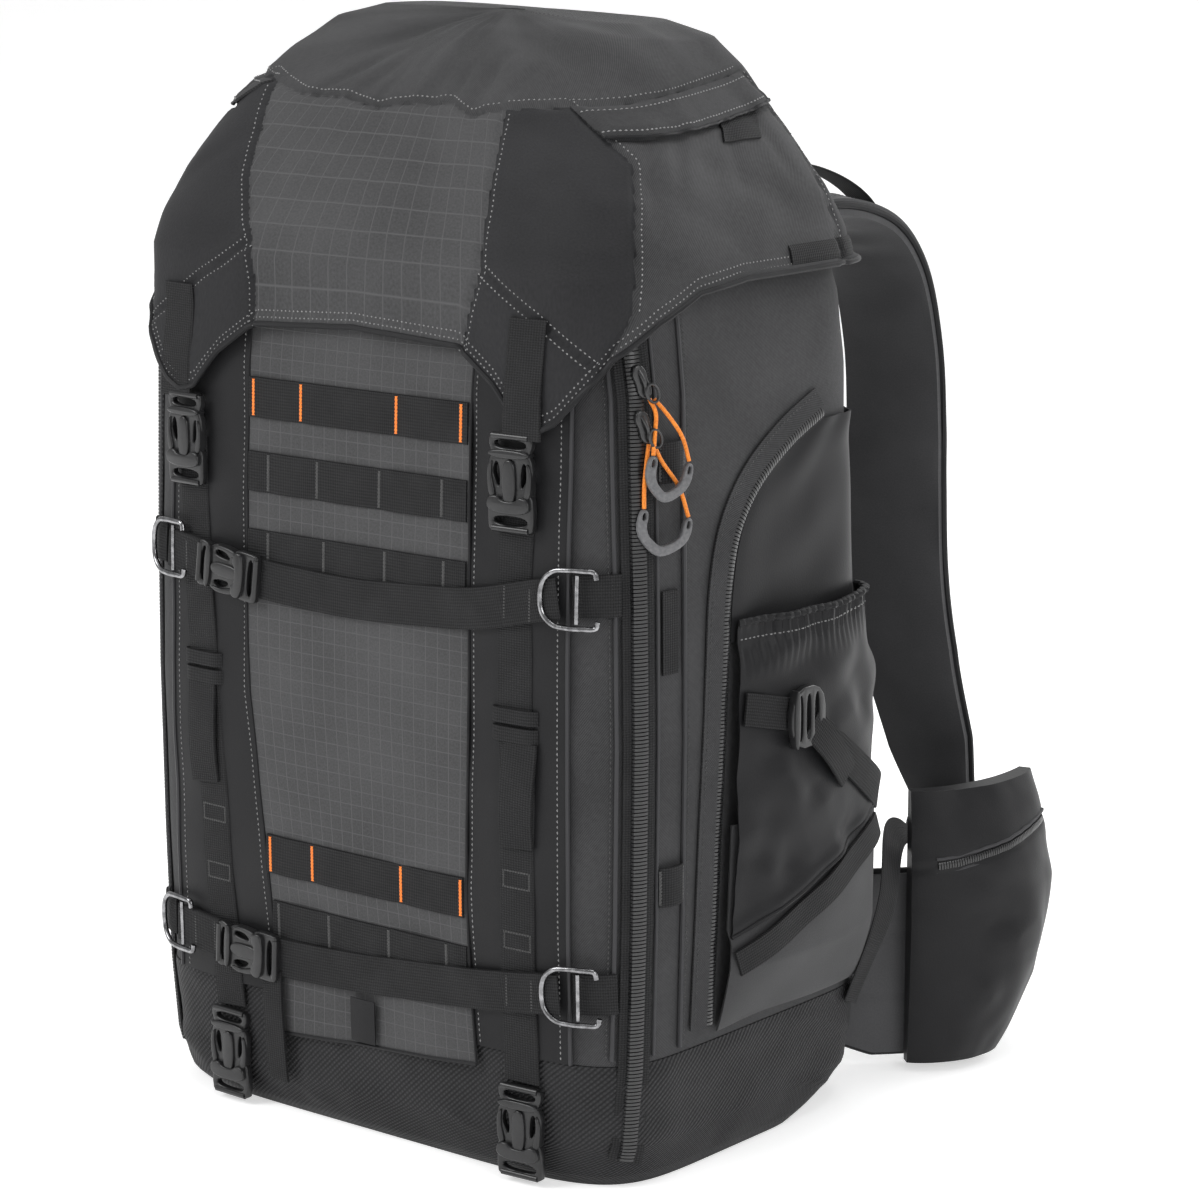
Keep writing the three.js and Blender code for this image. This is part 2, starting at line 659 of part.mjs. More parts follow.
// The side compartment's zip runs up behind the corner and arcs back over the
// pocket; distances are from the middle of the side, heights shares of the body.
const POCKET_CLEAR = 1.6;
const SIDE_ZIP_LINE = [
  { behind: -0.43, up: 0.165 }, { behind: -0.4, up: 0.36 }, { behind: -0.355, up: 0.56 },
  { behind: -0.325, up: 0.655 }, { behind: -0.26, up: 0.71 }, { behind: -0.12, up: 0.755 },
  { behind: 0.12, up: 0.795 }, { behind: 0.4, up: 0.825 },
];
function sideZip(side) {
  const curve = new THREE.CatmullRomCurve3(
    SIDE_ZIP_LINE.map((p) => vec(p.behind * BACK_DEPTH, p.up * BODY_HEIGHT, 0)), false, "centripetal");
  const line = steps(11).map((t) => {
    const p = curve.getPoint(t);
    return { place: fromFlank(side, p.x), z: p.y };
  });
  return laidOn(line, zipProfile(SIDE_TAPE, SIDE_COIL, SKIN_GAP));
}

// Side pocket: a stretch pocket sewn at its bottom and both sides, bulging out
// below an open mouth.
const zipEdge = (z) => BACK_DEPTH * lookUp(SIDE_ZIP_LINE, z / BODY_HEIGHT, "behind", "up")
  + SIDE_TAPE / 2 + POCKET_CLEAR;
const pocketPlace = (side, across, z) =>
  fromFlank(side, mix(zipEdge(z), POCKET_BACK, across))(girthAt(z));
function pocketLift(across, up) {
  const sides = hump(mix(0.06, 0.94, across)) ** 0.6;
  const rise = Math.min(1, up / 0.16) ** 0.7 * mix(1, 0.5, clamp01((up - 0.45) / 0.55) ** 1.5);
  return SKIN_GAP + (across > 0 && across < 1 ? LAYER_GAP + POCKET_BULGE * sides * rise : 0);
}
function sidePocket(side) {
  const rows = [0, 0.05, 0.14, 0.3, 0.5, 0.72, 0.9, 1].map((up) => {
    const z = mix(POCKET_BOTTOM, POCKET_TOP, up);
    return [0, 0.08, 0.2, 0.35, 0.5, 0.65, 0.78, 0.88, 0.95, 1].map((across) => {
      const around = pocketPlace(side, across, z);
      const lift = up === 0 ? SKIN_GAP : pocketLift(across, up);
      return {
        inner: skin(around, z, lift).point,
        outer: skin(around, z, lift + POCKET_WALL).point,
      };
    });
  });
  return sheetBody(rows);
}

// Side strap: from the zip seam across the pocket to the back corner, with the
// ladder lock that tightens it.
const SIDE_STRAP_SHARES = { start: 0.0, lock: 0.33, end: 0.96 };
function onPocket(side, across, slope) {
  const z = mix(SIDE_STRAP_START, SIDE_STRAP_END, slope);
  const up = (z - POCKET_BOTTOM) / (POCKET_TOP - POCKET_BOTTOM);
  const around = pocketPlace(side, across, z);
  return { around, z, lift: pocketLift(clamp01(across), up) + POCKET_WALL };
}
const strapSlope = (across) => (across < SIDE_STRAP_SHARES.lock
  ? SIDE_STRAP_DIP * (across / SIDE_STRAP_SHARES.lock)
  : mix(SIDE_STRAP_DIP, 1, (across - SIDE_STRAP_SHARES.lock) / (1 - SIDE_STRAP_SHARES.lock)));
function sideStrap(side) {
  const count = 12;
  const rows = steps(count).map((t) => {
    const across = mix(SIDE_STRAP_SHARES.start, SIDE_STRAP_SHARES.end, t);
    const here = onPocket(side, across, strapSlope(across));
    return [-0.5, 0.5].map((edge) => {
      const z = here.z + edge * SIDE_STRAP_WIDTH;
      const around = here.around;
      return {
        inner: skin(around, z, here.lift + STRAP_CLEAR).point,
        outer: skin(around, z, here.lift + STRAP_CLEAR + WEBBING_THICK).point,
      };
    });
  });
  return sheetBody(rows);
}
function ladderFrame(length, width, thick) {
  const [l, w, cut] = [length / 2, width / 2, width * 0.16];
  const half = [[l - cut, -w], [l, -w + cut], [l, w - cut], [l - cut, w]];
  const outline = new THREE.Shape(polygon([...half, ...half.map(([x, y]) => [-x, -y])]));
  for (const [share, tall] of [[-0.62, 0.7], [-0.12, 0.74], [0.38, 0.66]]) {
    const [low, high, reach] = [l * share, l * (share + 0.28), w * tall];
    outline.holes.push(new THREE.Path(polygon([[low, -reach], [high, -reach], [high, reach], [low, reach]])));
  }
  return new THREE.ExtrudeGeometry(outline, { depth: thick, bevelEnabled: false });
}
function sideLadderLock(side) {
  const here = onPocket(side, SIDE_STRAP_SHARES.lock, strapSlope(SIDE_STRAP_SHARES.lock));
  const lift = here.lift + STRAP_CLEAR + WEBBING_THICK + LADDER_SEAT;
  return fitOn(ladderFrame(LADDER_LENGTH, LADDER_WIDTH, LADDER_THICK), here.around, here.z, lift);
}

// Back panel and lumbar pad: padded cushions against the wearer's back.
function backPad(bottom, top, half, thick, crown) {
  const rows = levelsBetween(bottom, top, steps(6).map((t) => mix(bottom, top, t))).map((z) => {
    const v = (z - bottom) / (top - bottom);
    return steps(8).map((u) => {
      const girth = girthAt(z);
      const narrow = mix(0.86, 1, hump(mix(0.12, 0.88, v)) ** 0.5);
      const around = fromRear(1, mix(half, -half, u) * narrow)(girth);
      const swell = (hump(mix(0.04, 0.96, u)) * hump(mix(0.04, 0.96, v))) ** crown;
      return {
        inner: rearSkin(around, z, SKIN_GAP),
        outer: rearSkin(around, z, SKIN_GAP + 2 + (thick - 2) * swell),
      };
    });
  });
  return sheetBody(rows);
}
function rearSkin(around, z, lift) {
  const { total } = girthAt(z);
  const wrapped = around > total ? around - 2 * total : around;
  return skin(wrapped, z, lift).point;
}

// Shoulder straps: padded arcs from the yoke at the top, out over the back and
// down. Heights are shares of the drop, depths shares of the reach.
const SHOULDER_LINE = [
  { down: 0.0, behind: 0.0, spread: 1.1, wide: 0.8 },
  { down: -0.06, behind: 0.2, spread: 1.12, wide: 0.95 },
  { down: -0.09, behind: 0.44, spread: 1.16, wide: 1.0 },
  { down: -0.05, behind: 0.77, spread: 1.22, wide: 1.0 },
  { down: 0.03, behind: 0.92, spread: 1.28, wide: 1.0 },
  { down: 0.17, behind: 0.995, spread: 1.34, wide: 1.0 },
  { down: 0.315, behind: 0.995, spread: 1.4, wide: 1.0 },
  { down: 0.42, behind: 0.965, spread: 1.47, wide: 1.0 },
  { down: 0.587, behind: 0.925, spread: 1.6, wide: 1.0 },
  { down: 0.723, behind: 0.93, spread: 1.75, wide: 0.97 },
  { down: 0.88, behind: 0.98, spread: 1.94, wide: 0.86 },
  { down: 0.98, behind: 1.0, spread: 2.09, wide: 0.6 },
];
const shoulderWide = (t) => lookUp(
  SHOULDER_LINE.map((row, i) => ({ ...row, at: i / (SHOULDER_LINE.length - 1) })), t, "wide", "at");
function shoulderLine(side) {
  const back = skin(girthAt(SHOULDER_ROOT).total, SHOULDER_ROOT, 0).point.y + SHOULDER_SEAT;
  return new THREE.CatmullRomCurve3(SHOULDER_LINE.map((row) => vec(
    side * SHOULDER_SPREAD * row.spread,
    back + SHOULDER_REACH * row.behind,
    SHOULDER_ROOT - SHOULDER_DROP * row.down,
  )), false, "centripetal");
}
// The strap's middle, across and facing directions at a share of its length.
function shoulderFrame(side, t) {
  const curve = shoulderLine(side);
  const tangent = curve.getTangent(t);
  const turn = side * SHOULDER_TWIST * DEG * clamp01(t * 1.6);
  const across = vec(Math.cos(turn), Math.sin(turn), 0);
  across.addScaledVector(tangent, -across.dot(tangent)).normalize();
  const face = across.clone().cross(tangent).normalize();
  if (face.y + face.z < 0) face.negate();
  return { centre: curve.getPoint(t), across, face };
}
function shoulderStrap(side) {
  const rows = steps(15).map((t) => {
    const { centre, across, face } = shoulderFrame(side, t);
    return steps(4).map((u) => {
      const p = centre.clone().addScaledVector(across, mix(-0.5, 0.5, u) * SHOULDER_WIDTH * shoulderWide(t));
      const thick = SHOULDER_THICK * (0.3 + 0.7 * hump(mix(0.08, 0.92, u)) ** 0.5);
      return {
        inner: p.clone().addScaledVector(face, -thick / 2),
        outer: p.clone().addScaledVector(face, thick / 2),
      };
    });
  });
  return sheetBody(rows);
}

// Load lifter: webbing from the lid's back over the shoulder strap.
function loadLifter(side) {
  const root = vec(side * SHOULDER_SPREAD * 1.25, 0, LID_RIM + LIFTER_ROOT);
  root.y = BACK_DEPTH * lookUp(LID_SECTIONS, LIFTER_ROOT / LID_RISE, "back", "up") + 1.4;
  const above = [[0.2, 16], [0.28, 9], [0.36, 0.9]].map(([t, clear]) => {
    const { centre, face } = shoulderFrame(side, t);
    return centre.addScaledVector(face, SHOULDER_THICK / 2 + clear);
  });
  return ribbon([root, ...above], HARNESS_STRAP, WEBBING_THICK, () => vec(0, 0.4, 1), 12);
}

// Lower shoulder webbing: from the strap's tip over the hip belt to the bag's
// back corner.
function lowerStrap(side) {
  const tip = shoulderFrame(side, 1).centre;
  const z = LOWER_STRAP_END;
  const corner = skin(fromFlank(side, LOWER_STRAP_BEHIND)(girthAt(z)), z, LOWER_STRAP_SEAT);
  const end = corner.point;
  const over = WING_BOTTOM + WING_HEIGHT + LOWER_STRAP_OVER;
  const start = vec(0, -0.3, 1);
  return ribbon([
    tip.clone().add(vec(0, 2, -5)),
    tip.clone().add(vec(0, -22, -9)),
    vec(mix(tip.x, end.x, 0.4), mix(tip.y, end.y, 0.35), over - 2),
    vec(mix(tip.x, end.x, 0.62), mix(tip.y, end.y, 0.58), over + 9),
    vec(end.x + side * LOWER_STRAP_BOW, mix(tip.y, end.y, 0.87), mix(end.z, over, 0.7)),
    end,
  ], HARNESS_STRAP, WEBBING_THICK, (t) => start.clone().lerp(corner.outward, t), 16);
}

// Haul handle: a padded loop sewn across the top of the back.
function haulHandle() {
  const z = HANDLE_HEIGHT;
  const back = skin(girthAt(z).total, z).point.y + SKIN_GAP + HANDLE_THICK / 6;
  const half = HANDLE_SPAN / 2;
  return ribbon([
    vec(-half, back, z), vec(-half * 0.86, back + HANDLE_RISE * 0.4, z),
    vec(-half * 0.45, back + HANDLE_RISE * 0.85, z), vec(0, back + HANDLE_RISE, z),
    vec(half * 0.45, back + HANDLE_RISE * 0.85, z), vec(half * 0.86, back + HANDLE_RISE * 0.4, z),
    vec(half, back, z),
  ], HANDLE_WIDTH, HANDLE_THICK, (t) => vec(mix(-1, 1, t), 0.6, 0), 12);
}

// Zip pulls: each slider holds a hoop on two legs of cord. Pull places are
// distances across a plane that leans off the corner, out from it, and up from
// the slider, which parks below the zip's upper end.
const PULL_LEAN = 70 * DEG;
const pullAcross = vec(Math.cos(PULL_LEAN), Math.sin(PULL_LEAN), 0);
const pullOut = vec(Math.sin(PULL_LEAN), -Math.cos(PULL_LEAN), 0);
const sliderHeight = (pull) => MAIN_ZIP_TOP - pull.below;
function pullPoint(pull, [across, out, up]) {
  const z = sliderHeight(pull) + up;
  const seat = skin(fromFlank(1, -MAIN_ZIP)(girthAt(z)), z, SKIN_GAP + TAPE_THICK + COIL_HEIGHT).point;
  return seat.addScaledVector(pullAcross, across).addScaledVector(pullOut, out);
}
const SLIDER_LENGTH = 20;
const SLIDER_WIDTH = 9;
const SLIDER_THICK = 4;
const SLIDER_SHIFT = 4.5;
const SLIDER_TURN = 20;
const SLIDER_SEAT = 0.8;
const PULLS = [
  {
    name: "upper", below: 47, hoop: [15.5, 4.8, -58], wide: 31,
    legs: { front: [[6.9, 3.2, -10.4], [8.8, 6.4, -18], [7.6, 7.2, -30], [6.4, 6.8, -42.4]],
      rear: [[10.1, 3.2, -10.6], [15.5, 6.2, -18], [26, 7, -33], [30.6, 6.8, -47.6]] },
  },
  {
    name: "lower", below: 73, hoop: [14, 0.6, -64], wide: 37,
    legs: { front: [[6.4, 2, -10.6], [4.6, 2.4, -20], [2.6, 2.6, -34], [2, 2.6, -47.6]],
      rear: [[9.6, 2, -10.6], [14.6, 2.6, -21], [26, 2.6, -37], [32, 2.6, -55]] },
  },
];
function zipSlider(z) {
  const [w, l] = [SLIDER_WIDTH / 2, SLIDER_LENGTH / 2];
  const outline = new THREE.Shape(polygon([
    [-w * 0.6, -l], [w * 0.6, -l], [w, -l * 0.7], [w, l * 0.5], [w * 0.5, l], [-w * 0.5, l], [-w, l * 0.5], [-w, -l * 0.7],
  ]));
  outline.holes.push(new THREE.Path(polygon([
    [-w * 0.5, -l * 0.75], [w * 0.5, -l * 0.75], [w * 0.6, -l * 0.3], [-w * 0.6, -l * 0.3],
  ])));
  const shape = new THREE.ExtrudeGeometry(outline, { depth: SLIDER_THICK, bevelEnabled: false });
  const lift = SKIN_GAP + TAPE_THICK + COIL_HEIGHT + SLIDER_SEAT;
  return fitOn(shape, fromFlank(1, SLIDER_SHIFT - MAIN_ZIP)(girthAt(z)), z, lift, SLIDER_TURN * DEG);
}
function pullHoop(pull) {
  const [w, h, bar] = [pull.wide / 2, HOOP_HEIGHT / 2, HOOP_BAR];
  const right = [[w * 0.24, -h], [w, -h * 0.16], [w, h], [w - bar, h], [w - bar, -h * 0.02], [w * 0.12, -h + bar]];
  const outline = new THREE.Shape(polygon([...right, ...right.map(([x, y]) => [-x, y]).reverse()]));
  const shape = new THREE.ExtrudeGeometry(outline, { depth: HOOP_THICK, bevelEnabled: false });
  const basis = new THREE.Matrix4().makeBasis(pullAcross, vec(0, 0, 1), pullOut).setPosition(pullPoint(pull, pull.hoop));
  return shape.rotateZ(HOOP_TILT * DEG).applyMatrix4(basis);
}

// Hip belt wings: from the lumbar pad round to the front ends, curving back.
const WING_LINE = [
  { out: 0.0, behind: 0.0, low: 0.16, high: 0.9 },
  { out: 0.3, behind: 0.06, low: 0.08, high: 0.94 },
  { out: 0.55, behind: 0.17, low: 0.0, high: 1.0 },
  { out: 0.86, behind: 0.36, low: 0.0, high: 1.0 },
  { out: 1.0, behind: 0.58, low: 0.0, high: 1.0 },
  { out: 1.0, behind: 0.8, low: 0.04, high: 0.95 },
  { out: 0.9, behind: 1.0, low: 0.14, high: 0.8 },
];
function wingCurve(side) {
  const root = skin(girthAt(LUMBAR_BOTTOM + WING_HEIGHT / 2).total, LUMBAR_BOTTOM + WING_HEIGHT / 2, 0).point;
  return new THREE.CatmullRomCurve3(WING_LINE.map((row) => vec(
    side * (LUMBAR_HALF + WING_CLEAR + WING_REACH * row.out),
    root.y + WING_SEAT + WING_DEPTH * row.behind,
    0,
  )), false, "centripetal");
}
const wingRow = (t, column) => lookUp(WING_LINE.map((row, i) => ({ ...row, at: i / 6 })), t, column, "at");
function hipWing(side) {
  const curve = wingCurve(side);
  const rows = steps(12).map((t) => {
    const centre = curve.getPoint(t);
    const tangent = curve.getTangent(t);
    const outward = vec(side * tangent.y, -side * tangent.x, 0).normalize();
    const low = WING_BOTTOM + WING_HEIGHT * wingRow(t, "low");
    const high = WING_BOTTOM + WING_HEIGHT * wingRow(t, "high");
    return steps(4).map((v) => {
      const thick = WING_THICK * (0.4 + 0.6 * hump(mix(0.08, 0.92, v)) ** 0.5);
      const p = centre.clone().setZ(mix(low, high, v));
      return {
        inner: p.clone().addScaledVector(outward, -thick / 2),
        outer: p.clone().addScaledVector(outward, thick / 2),
      };
    });
  });
  return sheetBody(rows);
}
// Where the hip pocket ends along the wing, from its bottom to its top.
const HIP_POCKET_ENDS = [
  { up: 0, end: 0.7 }, { up: 0.25, end: 0.86 }, { up: 0.6, end: 0.97 }, { up: 1, end: 0.86 },
];
function hipPocket(side) {
  const curve = wingCurve(side);
  const rows = steps(7).map((v) => {
    const z = mix(HIP_POCKET_BOTTOM, HIP_POCKET_BOTTOM + HIP_POCKET_HEIGHT, v);
    return steps(6).map((u) => {
      const t = mix(HIP_POCKET_START, lookUp(HIP_POCKET_ENDS, v, "end", "up"), u);
      const centre = curve.getPoint(t);
      const tangent = curve.getTangent(t);
      const outward = vec(side * tangent.y, -side * tangent.x, 0).normalize();
      const swell = (hump(mix(0.05, 0.95, u)) * hump(mix(0.05, 0.95, v))) ** 0.4;
      const p = centre.clone().setZ(z);
      const seat = WING_THICK / 2 + 3 * LAYER_GAP;
      return {
        inner: p.clone().addScaledVector(outward, seat),
        outer: p.clone().addScaledVector(outward, seat + 2 + (HIP_POCKET_THICK - 2) * swell),
      };
    });
  });
  return sheetBody(rows);
}

add("base_boot", "boot", bootTray());
add("main_shell", "twill", mainShell());
add("lid", "twill", lidCover());
add("front_panel", "ripstop", frontPanel());
for (const [name, z] of [["upper", ROW_UPPER], ["middle", ROW_MIDDLE], ["lower", ROW_LOWER]]) {
  const reach = panelEdge((z - PANEL_BOTTOM) / PANEL_HEIGHT, "left") - ROW_INSET;
  const ends = [-1, 1].map((side) => ({ place: fromFront(side * reach), z }));
  add(`webbing_row_${name}`, "webbing", webbingRun(ends[0], ends[1], LAYER.webbing, 1, 8));
}
for (const [name, side] of SIDES) {
  add(`side_band_${name}`, "smooth", sideBand(side));
  add(`main_zip_${name}`, "coil", mainZip(side));
  add(`side_zip_${name}`, "coil", sideZip(side));
  add(`side_pocket_${name}`, "smooth", sidePocket(side));
  add(`side_strap_${name}`, "webbing", sideStrap(side));
  add(`side_ladder_lock_${name}`, "plastic", sideLadderLock(side));
  add(`front_strap_${name}`, "webbing", webbingRun(
    { place: fromFront(strapFoot(side)), z: STRAP_BASE },
    { place: fromFront(strapHead(side)), z: STRAP_TOP }, LAYER.webbing, 1, 10));
  add(`lid_strap_${name}`, "webbing", lidStrap(side));
  add(`lid_buckle_${name}`, "plastic", fitOn(
    releaseBuckle(), strapHead(side), LID_BUCKLE_HEIGHT, LAYER.hardware));
  add(`base_buckle_${name}`, "plastic", fitOn(
    releaseBuckle(), strapFoot(side), BASE_BUCKLE_HEIGHT, BASE_BUCKLE_SEAT));
  add(`shoulder_strap_${name}`, "padding", shoulderStrap(side));
  add(`load_lifter_${name}`, "webbing", loadLifter(side));
  add(`shoulder_lower_strap_${name}`, "webbing", lowerStrap(side));
  add(`hip_wing_${name}`, "padding", hipWing(side));
  add(`hip_pocket_${name}`, "smooth", hipPocket(side));
}
for (const [level, buckle] of [["upper", CROSS_BUCKLE_UPPER], ["lower", CROSS_BUCKLE_LOWER]]) {
  const half = BUCKLE_LENGTH / 2 + LAYER_GAP;
  const reach = HOOK_SPREAD - HOOK_WIDTH * 0.2;
  const across = (name, ...run) => add(name, "webbing", crossRun(level, ...run));
  across(`${level}_cross_strap`, -buckle + half, reach, 12);
  across(`${level}_anchor_left`, -anchorEnd(level), -buckle - half, 6);
  across(`${level}_anchor_right`, reach + ANCHOR_GAP, anchorEnd(level), 4, LAYER.webbing);
  add(`${level}_cross_buckle`, "plastic", fitOn(
    releaseBuckle(), -buckle, crossHeight(level, -buckle), LAYER.hardware, Math.PI / 2));
  for (const [name, side] of SIDES) {
    add(`${level}_hook_${name}`, "steel", gateHook(side, crossHeight(level, side * HOOK_SPREAD)));
  }
}
add("back_panel", "mesh", backPad(BACK_PANEL_BOTTOM, BACK_PANEL_TOP, BACK_PANEL_HALF, BACK_PANEL_THICK, 0.3));
add("lumbar_pad", "mesh", backPad(
  LUMBAR_BOTTOM, BACK_PANEL_BOTTOM - LAYER_GAP, LUMBAR_HALF, LUMBAR_THICK, 0.35));

add("haul_handle", "webbing", haulHandle());
for (const pull of PULLS) {
  add(`zip_slider_${pull.name}`, "plastic", zipSlider(sliderHeight(pull)));
  add(`pull_hoop_${pull.name}`, "rubber", pullHoop(pull));
  for (const [end, points] of Object.entries(pull.legs)) {
    add(`pull_cord_${pull.name}_${end}`, "cord", tube(points.map((p) => pullPoint(pull, p)), PULL_CORD, 8, 6));
  }
}

// The finished bag stands on the origin: the middle of its footprint's box.
const cordNames = /^pull_/;
const bounds = new THREE.Box3();
group.children.filter((mesh) => !cordNames.test(mesh.name)).forEach((mesh) => bounds.expandByObject(mesh));
const middle = bounds.getCenter(new THREE.Vector3());
group.position.set(-middle.x, -middle.y, -bounds.min.z);

export default group;
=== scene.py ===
import math

import bmesh
import bpy
import numpy as np
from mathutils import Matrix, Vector
from mathutils.kdtree import KDTree


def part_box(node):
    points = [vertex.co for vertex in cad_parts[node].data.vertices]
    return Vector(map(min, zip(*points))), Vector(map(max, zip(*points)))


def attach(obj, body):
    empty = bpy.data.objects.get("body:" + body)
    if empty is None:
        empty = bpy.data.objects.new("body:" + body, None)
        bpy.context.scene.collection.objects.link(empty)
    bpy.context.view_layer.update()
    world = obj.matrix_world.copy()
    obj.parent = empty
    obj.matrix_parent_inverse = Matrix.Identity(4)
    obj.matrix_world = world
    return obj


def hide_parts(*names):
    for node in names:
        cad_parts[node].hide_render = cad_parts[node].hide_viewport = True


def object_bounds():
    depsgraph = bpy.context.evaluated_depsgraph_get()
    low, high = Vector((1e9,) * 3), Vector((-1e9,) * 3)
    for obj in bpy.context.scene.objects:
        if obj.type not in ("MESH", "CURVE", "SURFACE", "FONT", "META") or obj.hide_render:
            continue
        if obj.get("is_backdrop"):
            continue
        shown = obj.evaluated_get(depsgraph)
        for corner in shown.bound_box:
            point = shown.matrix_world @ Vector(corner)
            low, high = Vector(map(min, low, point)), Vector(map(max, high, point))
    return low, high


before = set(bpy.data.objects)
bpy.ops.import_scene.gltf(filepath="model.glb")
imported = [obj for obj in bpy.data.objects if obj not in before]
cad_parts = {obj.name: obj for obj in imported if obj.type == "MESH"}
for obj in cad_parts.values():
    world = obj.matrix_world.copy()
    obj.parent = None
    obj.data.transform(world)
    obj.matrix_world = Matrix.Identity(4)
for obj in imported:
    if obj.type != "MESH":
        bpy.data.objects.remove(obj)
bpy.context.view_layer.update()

# The body
# The bag stands on its base, front towards -Y. Lengths below are millimetres in the bag's own frame, whose
# zero is the middle of the body; placed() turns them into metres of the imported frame. The body is a stack
# of rounded plans, and every panel, zip, strap and fitting is placed by its distance round that body and
# its height.
MM = 0.001
BODY_HEIGHT = 552
HALF_WIDTH = 201
FRONT_DEPTH = 147
BACK_DEPTH = 134
BODY_PLANS = np.array([  # height share, width, front depth and back depth shares, squareness of the plan
    [0.0, 0.935, 0.905, 0.52, 6], [0.012, 0.955, 0.945, 0.64, 6], [0.05, 0.972, 0.972, 0.96, 6.5],
    [0.14, 0.985, 0.985, 1.0, 7], [0.3, 0.995, 0.995, 0.97, 7], [0.5, 1.0, 1.0, 0.92, 7],
    [0.65, 0.997, 0.992, 0.86, 7], [0.87, 0.987, 0.965, 0.83, 7], [0.95, 0.965, 0.93, 0.815, 7],
    [1.0, 0.93, 0.885, 0.805, 6.5],
])
SHIFT = np.array([0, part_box("main_shell")[0].y / MM + FRONT_DEPTH, 0])


def placed(points):
    return (np.asarray(points, float) + SHIFT) * MM


def mix(a, b, t):
    return a + (b - a) * t


def hump(t):
    return np.sin(np.pi * np.clip(t, 0, 1))


def unit(v):
    return v / np.maximum(np.linalg.norm(v, axis=-1, keepdims=True), 1e-9)


def plan_sizes(plans, share):
    wide, front, back, square = (np.interp(share, plans[:, 0], plans[:, k]) for k in (1, 2, 3, 4))
    return HALF_WIDTH * wide, FRONT_DEPTH * front, BACK_DEPTH * back, square


def plan_point(sizes, turn, grow=0.0):
    """x and y of a rounded plan in the direction turn, counted from the front centre round by +X."""
    wide, front, back, square = sizes
    c, s = np.sin(turn), -np.cos(turn)
    deep = np.where(s < 0, front, back) + grow
    radius = ((np.abs(c) / (wide + grow)) ** square + (np.abs(s) / deep) ** square) ** (-1 / square)
    return radius * c, radius * s


LEVELS = np.arange(BODY_HEIGHT + 1.0)
SHARES = np.linspace(0, 1, 801)
half_turn = np.linspace(0, np.pi, 1601)
outline_x, outline_y, girth, flank = [], [], [], []
for level in LEVELS:
    x, y = plan_point(plan_sizes(BODY_PLANS, level / BODY_HEIGHT), half_turn)
    run = np.concatenate([[0], np.cumsum(np.hypot(np.diff(x), np.diff(y)))])
    outline_x.append(np.interp(SHARES * run[-1], run, x))
    outline_y.append(np.interp(SHARES * run[-1], run, y))
    girth.append(run[-1])
    flank.append(run[800])
outline_x, outline_y = np.array(outline_x), np.array(outline_y)
girth, flank = np.array(girth), np.array(flank)


def half_girth(z):
    return np.interp(z, LEVELS, girth)


def flank_at(z):
    """How far round the body the middle of a side is."""
    return np.interp(z, LEVELS, flank)


def skin(around, z, lift=0.0):
    """Points on the body and their outward directions; around is signed, from the front centre line."""
    around, z = np.broadcast_arrays(np.asarray(around, float), np.asarray(z, float))
    level = np.clip(z, 0, BODY_HEIGHT - 1e-6)
    low = level.astype(int)
    t = level - low
    share = np.abs(around) / half_girth(level)
    past = share > 1
    side = np.where(around < 0, -1.0, 1.0) * np.where(past, -1.0, 1.0)
    place = np.clip(np.where(past, 2 - share, share), 0, 1) * (len(SHARES) - 1)
    left = np.clip(place.astype(int), 0, len(SHARES) - 2)
    s = place - left

    def table(rows):
        near = mix(rows[low, left], rows[low, left + 1], s)
        return mix(near, mix(rows[low + 1, left], rows[low + 1, left + 1], s), t)

    x, y = table(outline_x), table(outline_y)
    ahead, behind = np.clip(left + 6, 0, len(SHARES) - 1), np.clip(left - 5, 0, len(SHARES) - 1)
    dx = outline_x[low, ahead] - outline_x[low, behind]
    dy = outline_y[low, ahead] - outline_y[low, behind]
    out = unit(np.stack([side * dy, -dx, np.zeros_like(dx)], -1))
    point = np.stack([side * x, y, z], -1)
    return point + out * np.asarray(lift, float)[..., None], out


# Cords of the zip pulls
# Each slider of the right main zip carries a loop of thin orange cord, knotted at the slider, whose two
# legs hold a grip of grey rubber. The cords are braided polyester, 2.5 mm thick, and hang by their own
# weight.
ZIP_PLACE = 118
ZIP_TOP = 538
SEAT_LIFT = 4.0
PULL_LEAN = math.radians(70)
PULL_CORD = 0.0025
PULLS = {  # below the zip's top, then metres across, out and up from the slider
    "upper": {"below": 47, "front": [[0.0069, 0.0032, -0.0104], [0.0088, 0.0064, -0.018],
                                     [0.0076, 0.0072, -0.03], [0.0064, 0.0068, -0.0424]],
              "rear": [[0.0101, 0.0032, -0.0106], [0.0155, 0.0062, -0.018],
                       [0.026, 0.007, -0.033], [0.0306, 0.0068, -0.0476]]},
    "lower": {"below": 73, "front": [[0.0064, 0.002, -0.0106], [0.0046, 0.0024, -0.02],
                                     [0.0026, 0.0026, -0.034], [0.002, 0.0026, -0.0476]],
              "rear": [[0.0096, 0.002, -0.0106], [0.0146, 0.0026, -0.021],
                       [0.026, 0.0026, -0.037], [0.032, 0.0026, -0.055]]},
}
PULL_ACROSS = np.array([math.cos(PULL_LEAN), math.sin(PULL_LEAN), 0])
PULL_OUT = np.array([math.sin(PULL_LEAN), -math.cos(PULL_LEAN), 0])


def pull_point(below, place):
    """A place on a pull, in millimetres, from its metres across, out and up from the slider."""
    across, out, up = (v / MM for v in place)
    z = ZIP_TOP - below + up
    seat, _ = skin(flank_at(z) - ZIP_PLACE, z, SEAT_LIFT)
    return seat + PULL_ACROSS * across + PULL_OUT * out


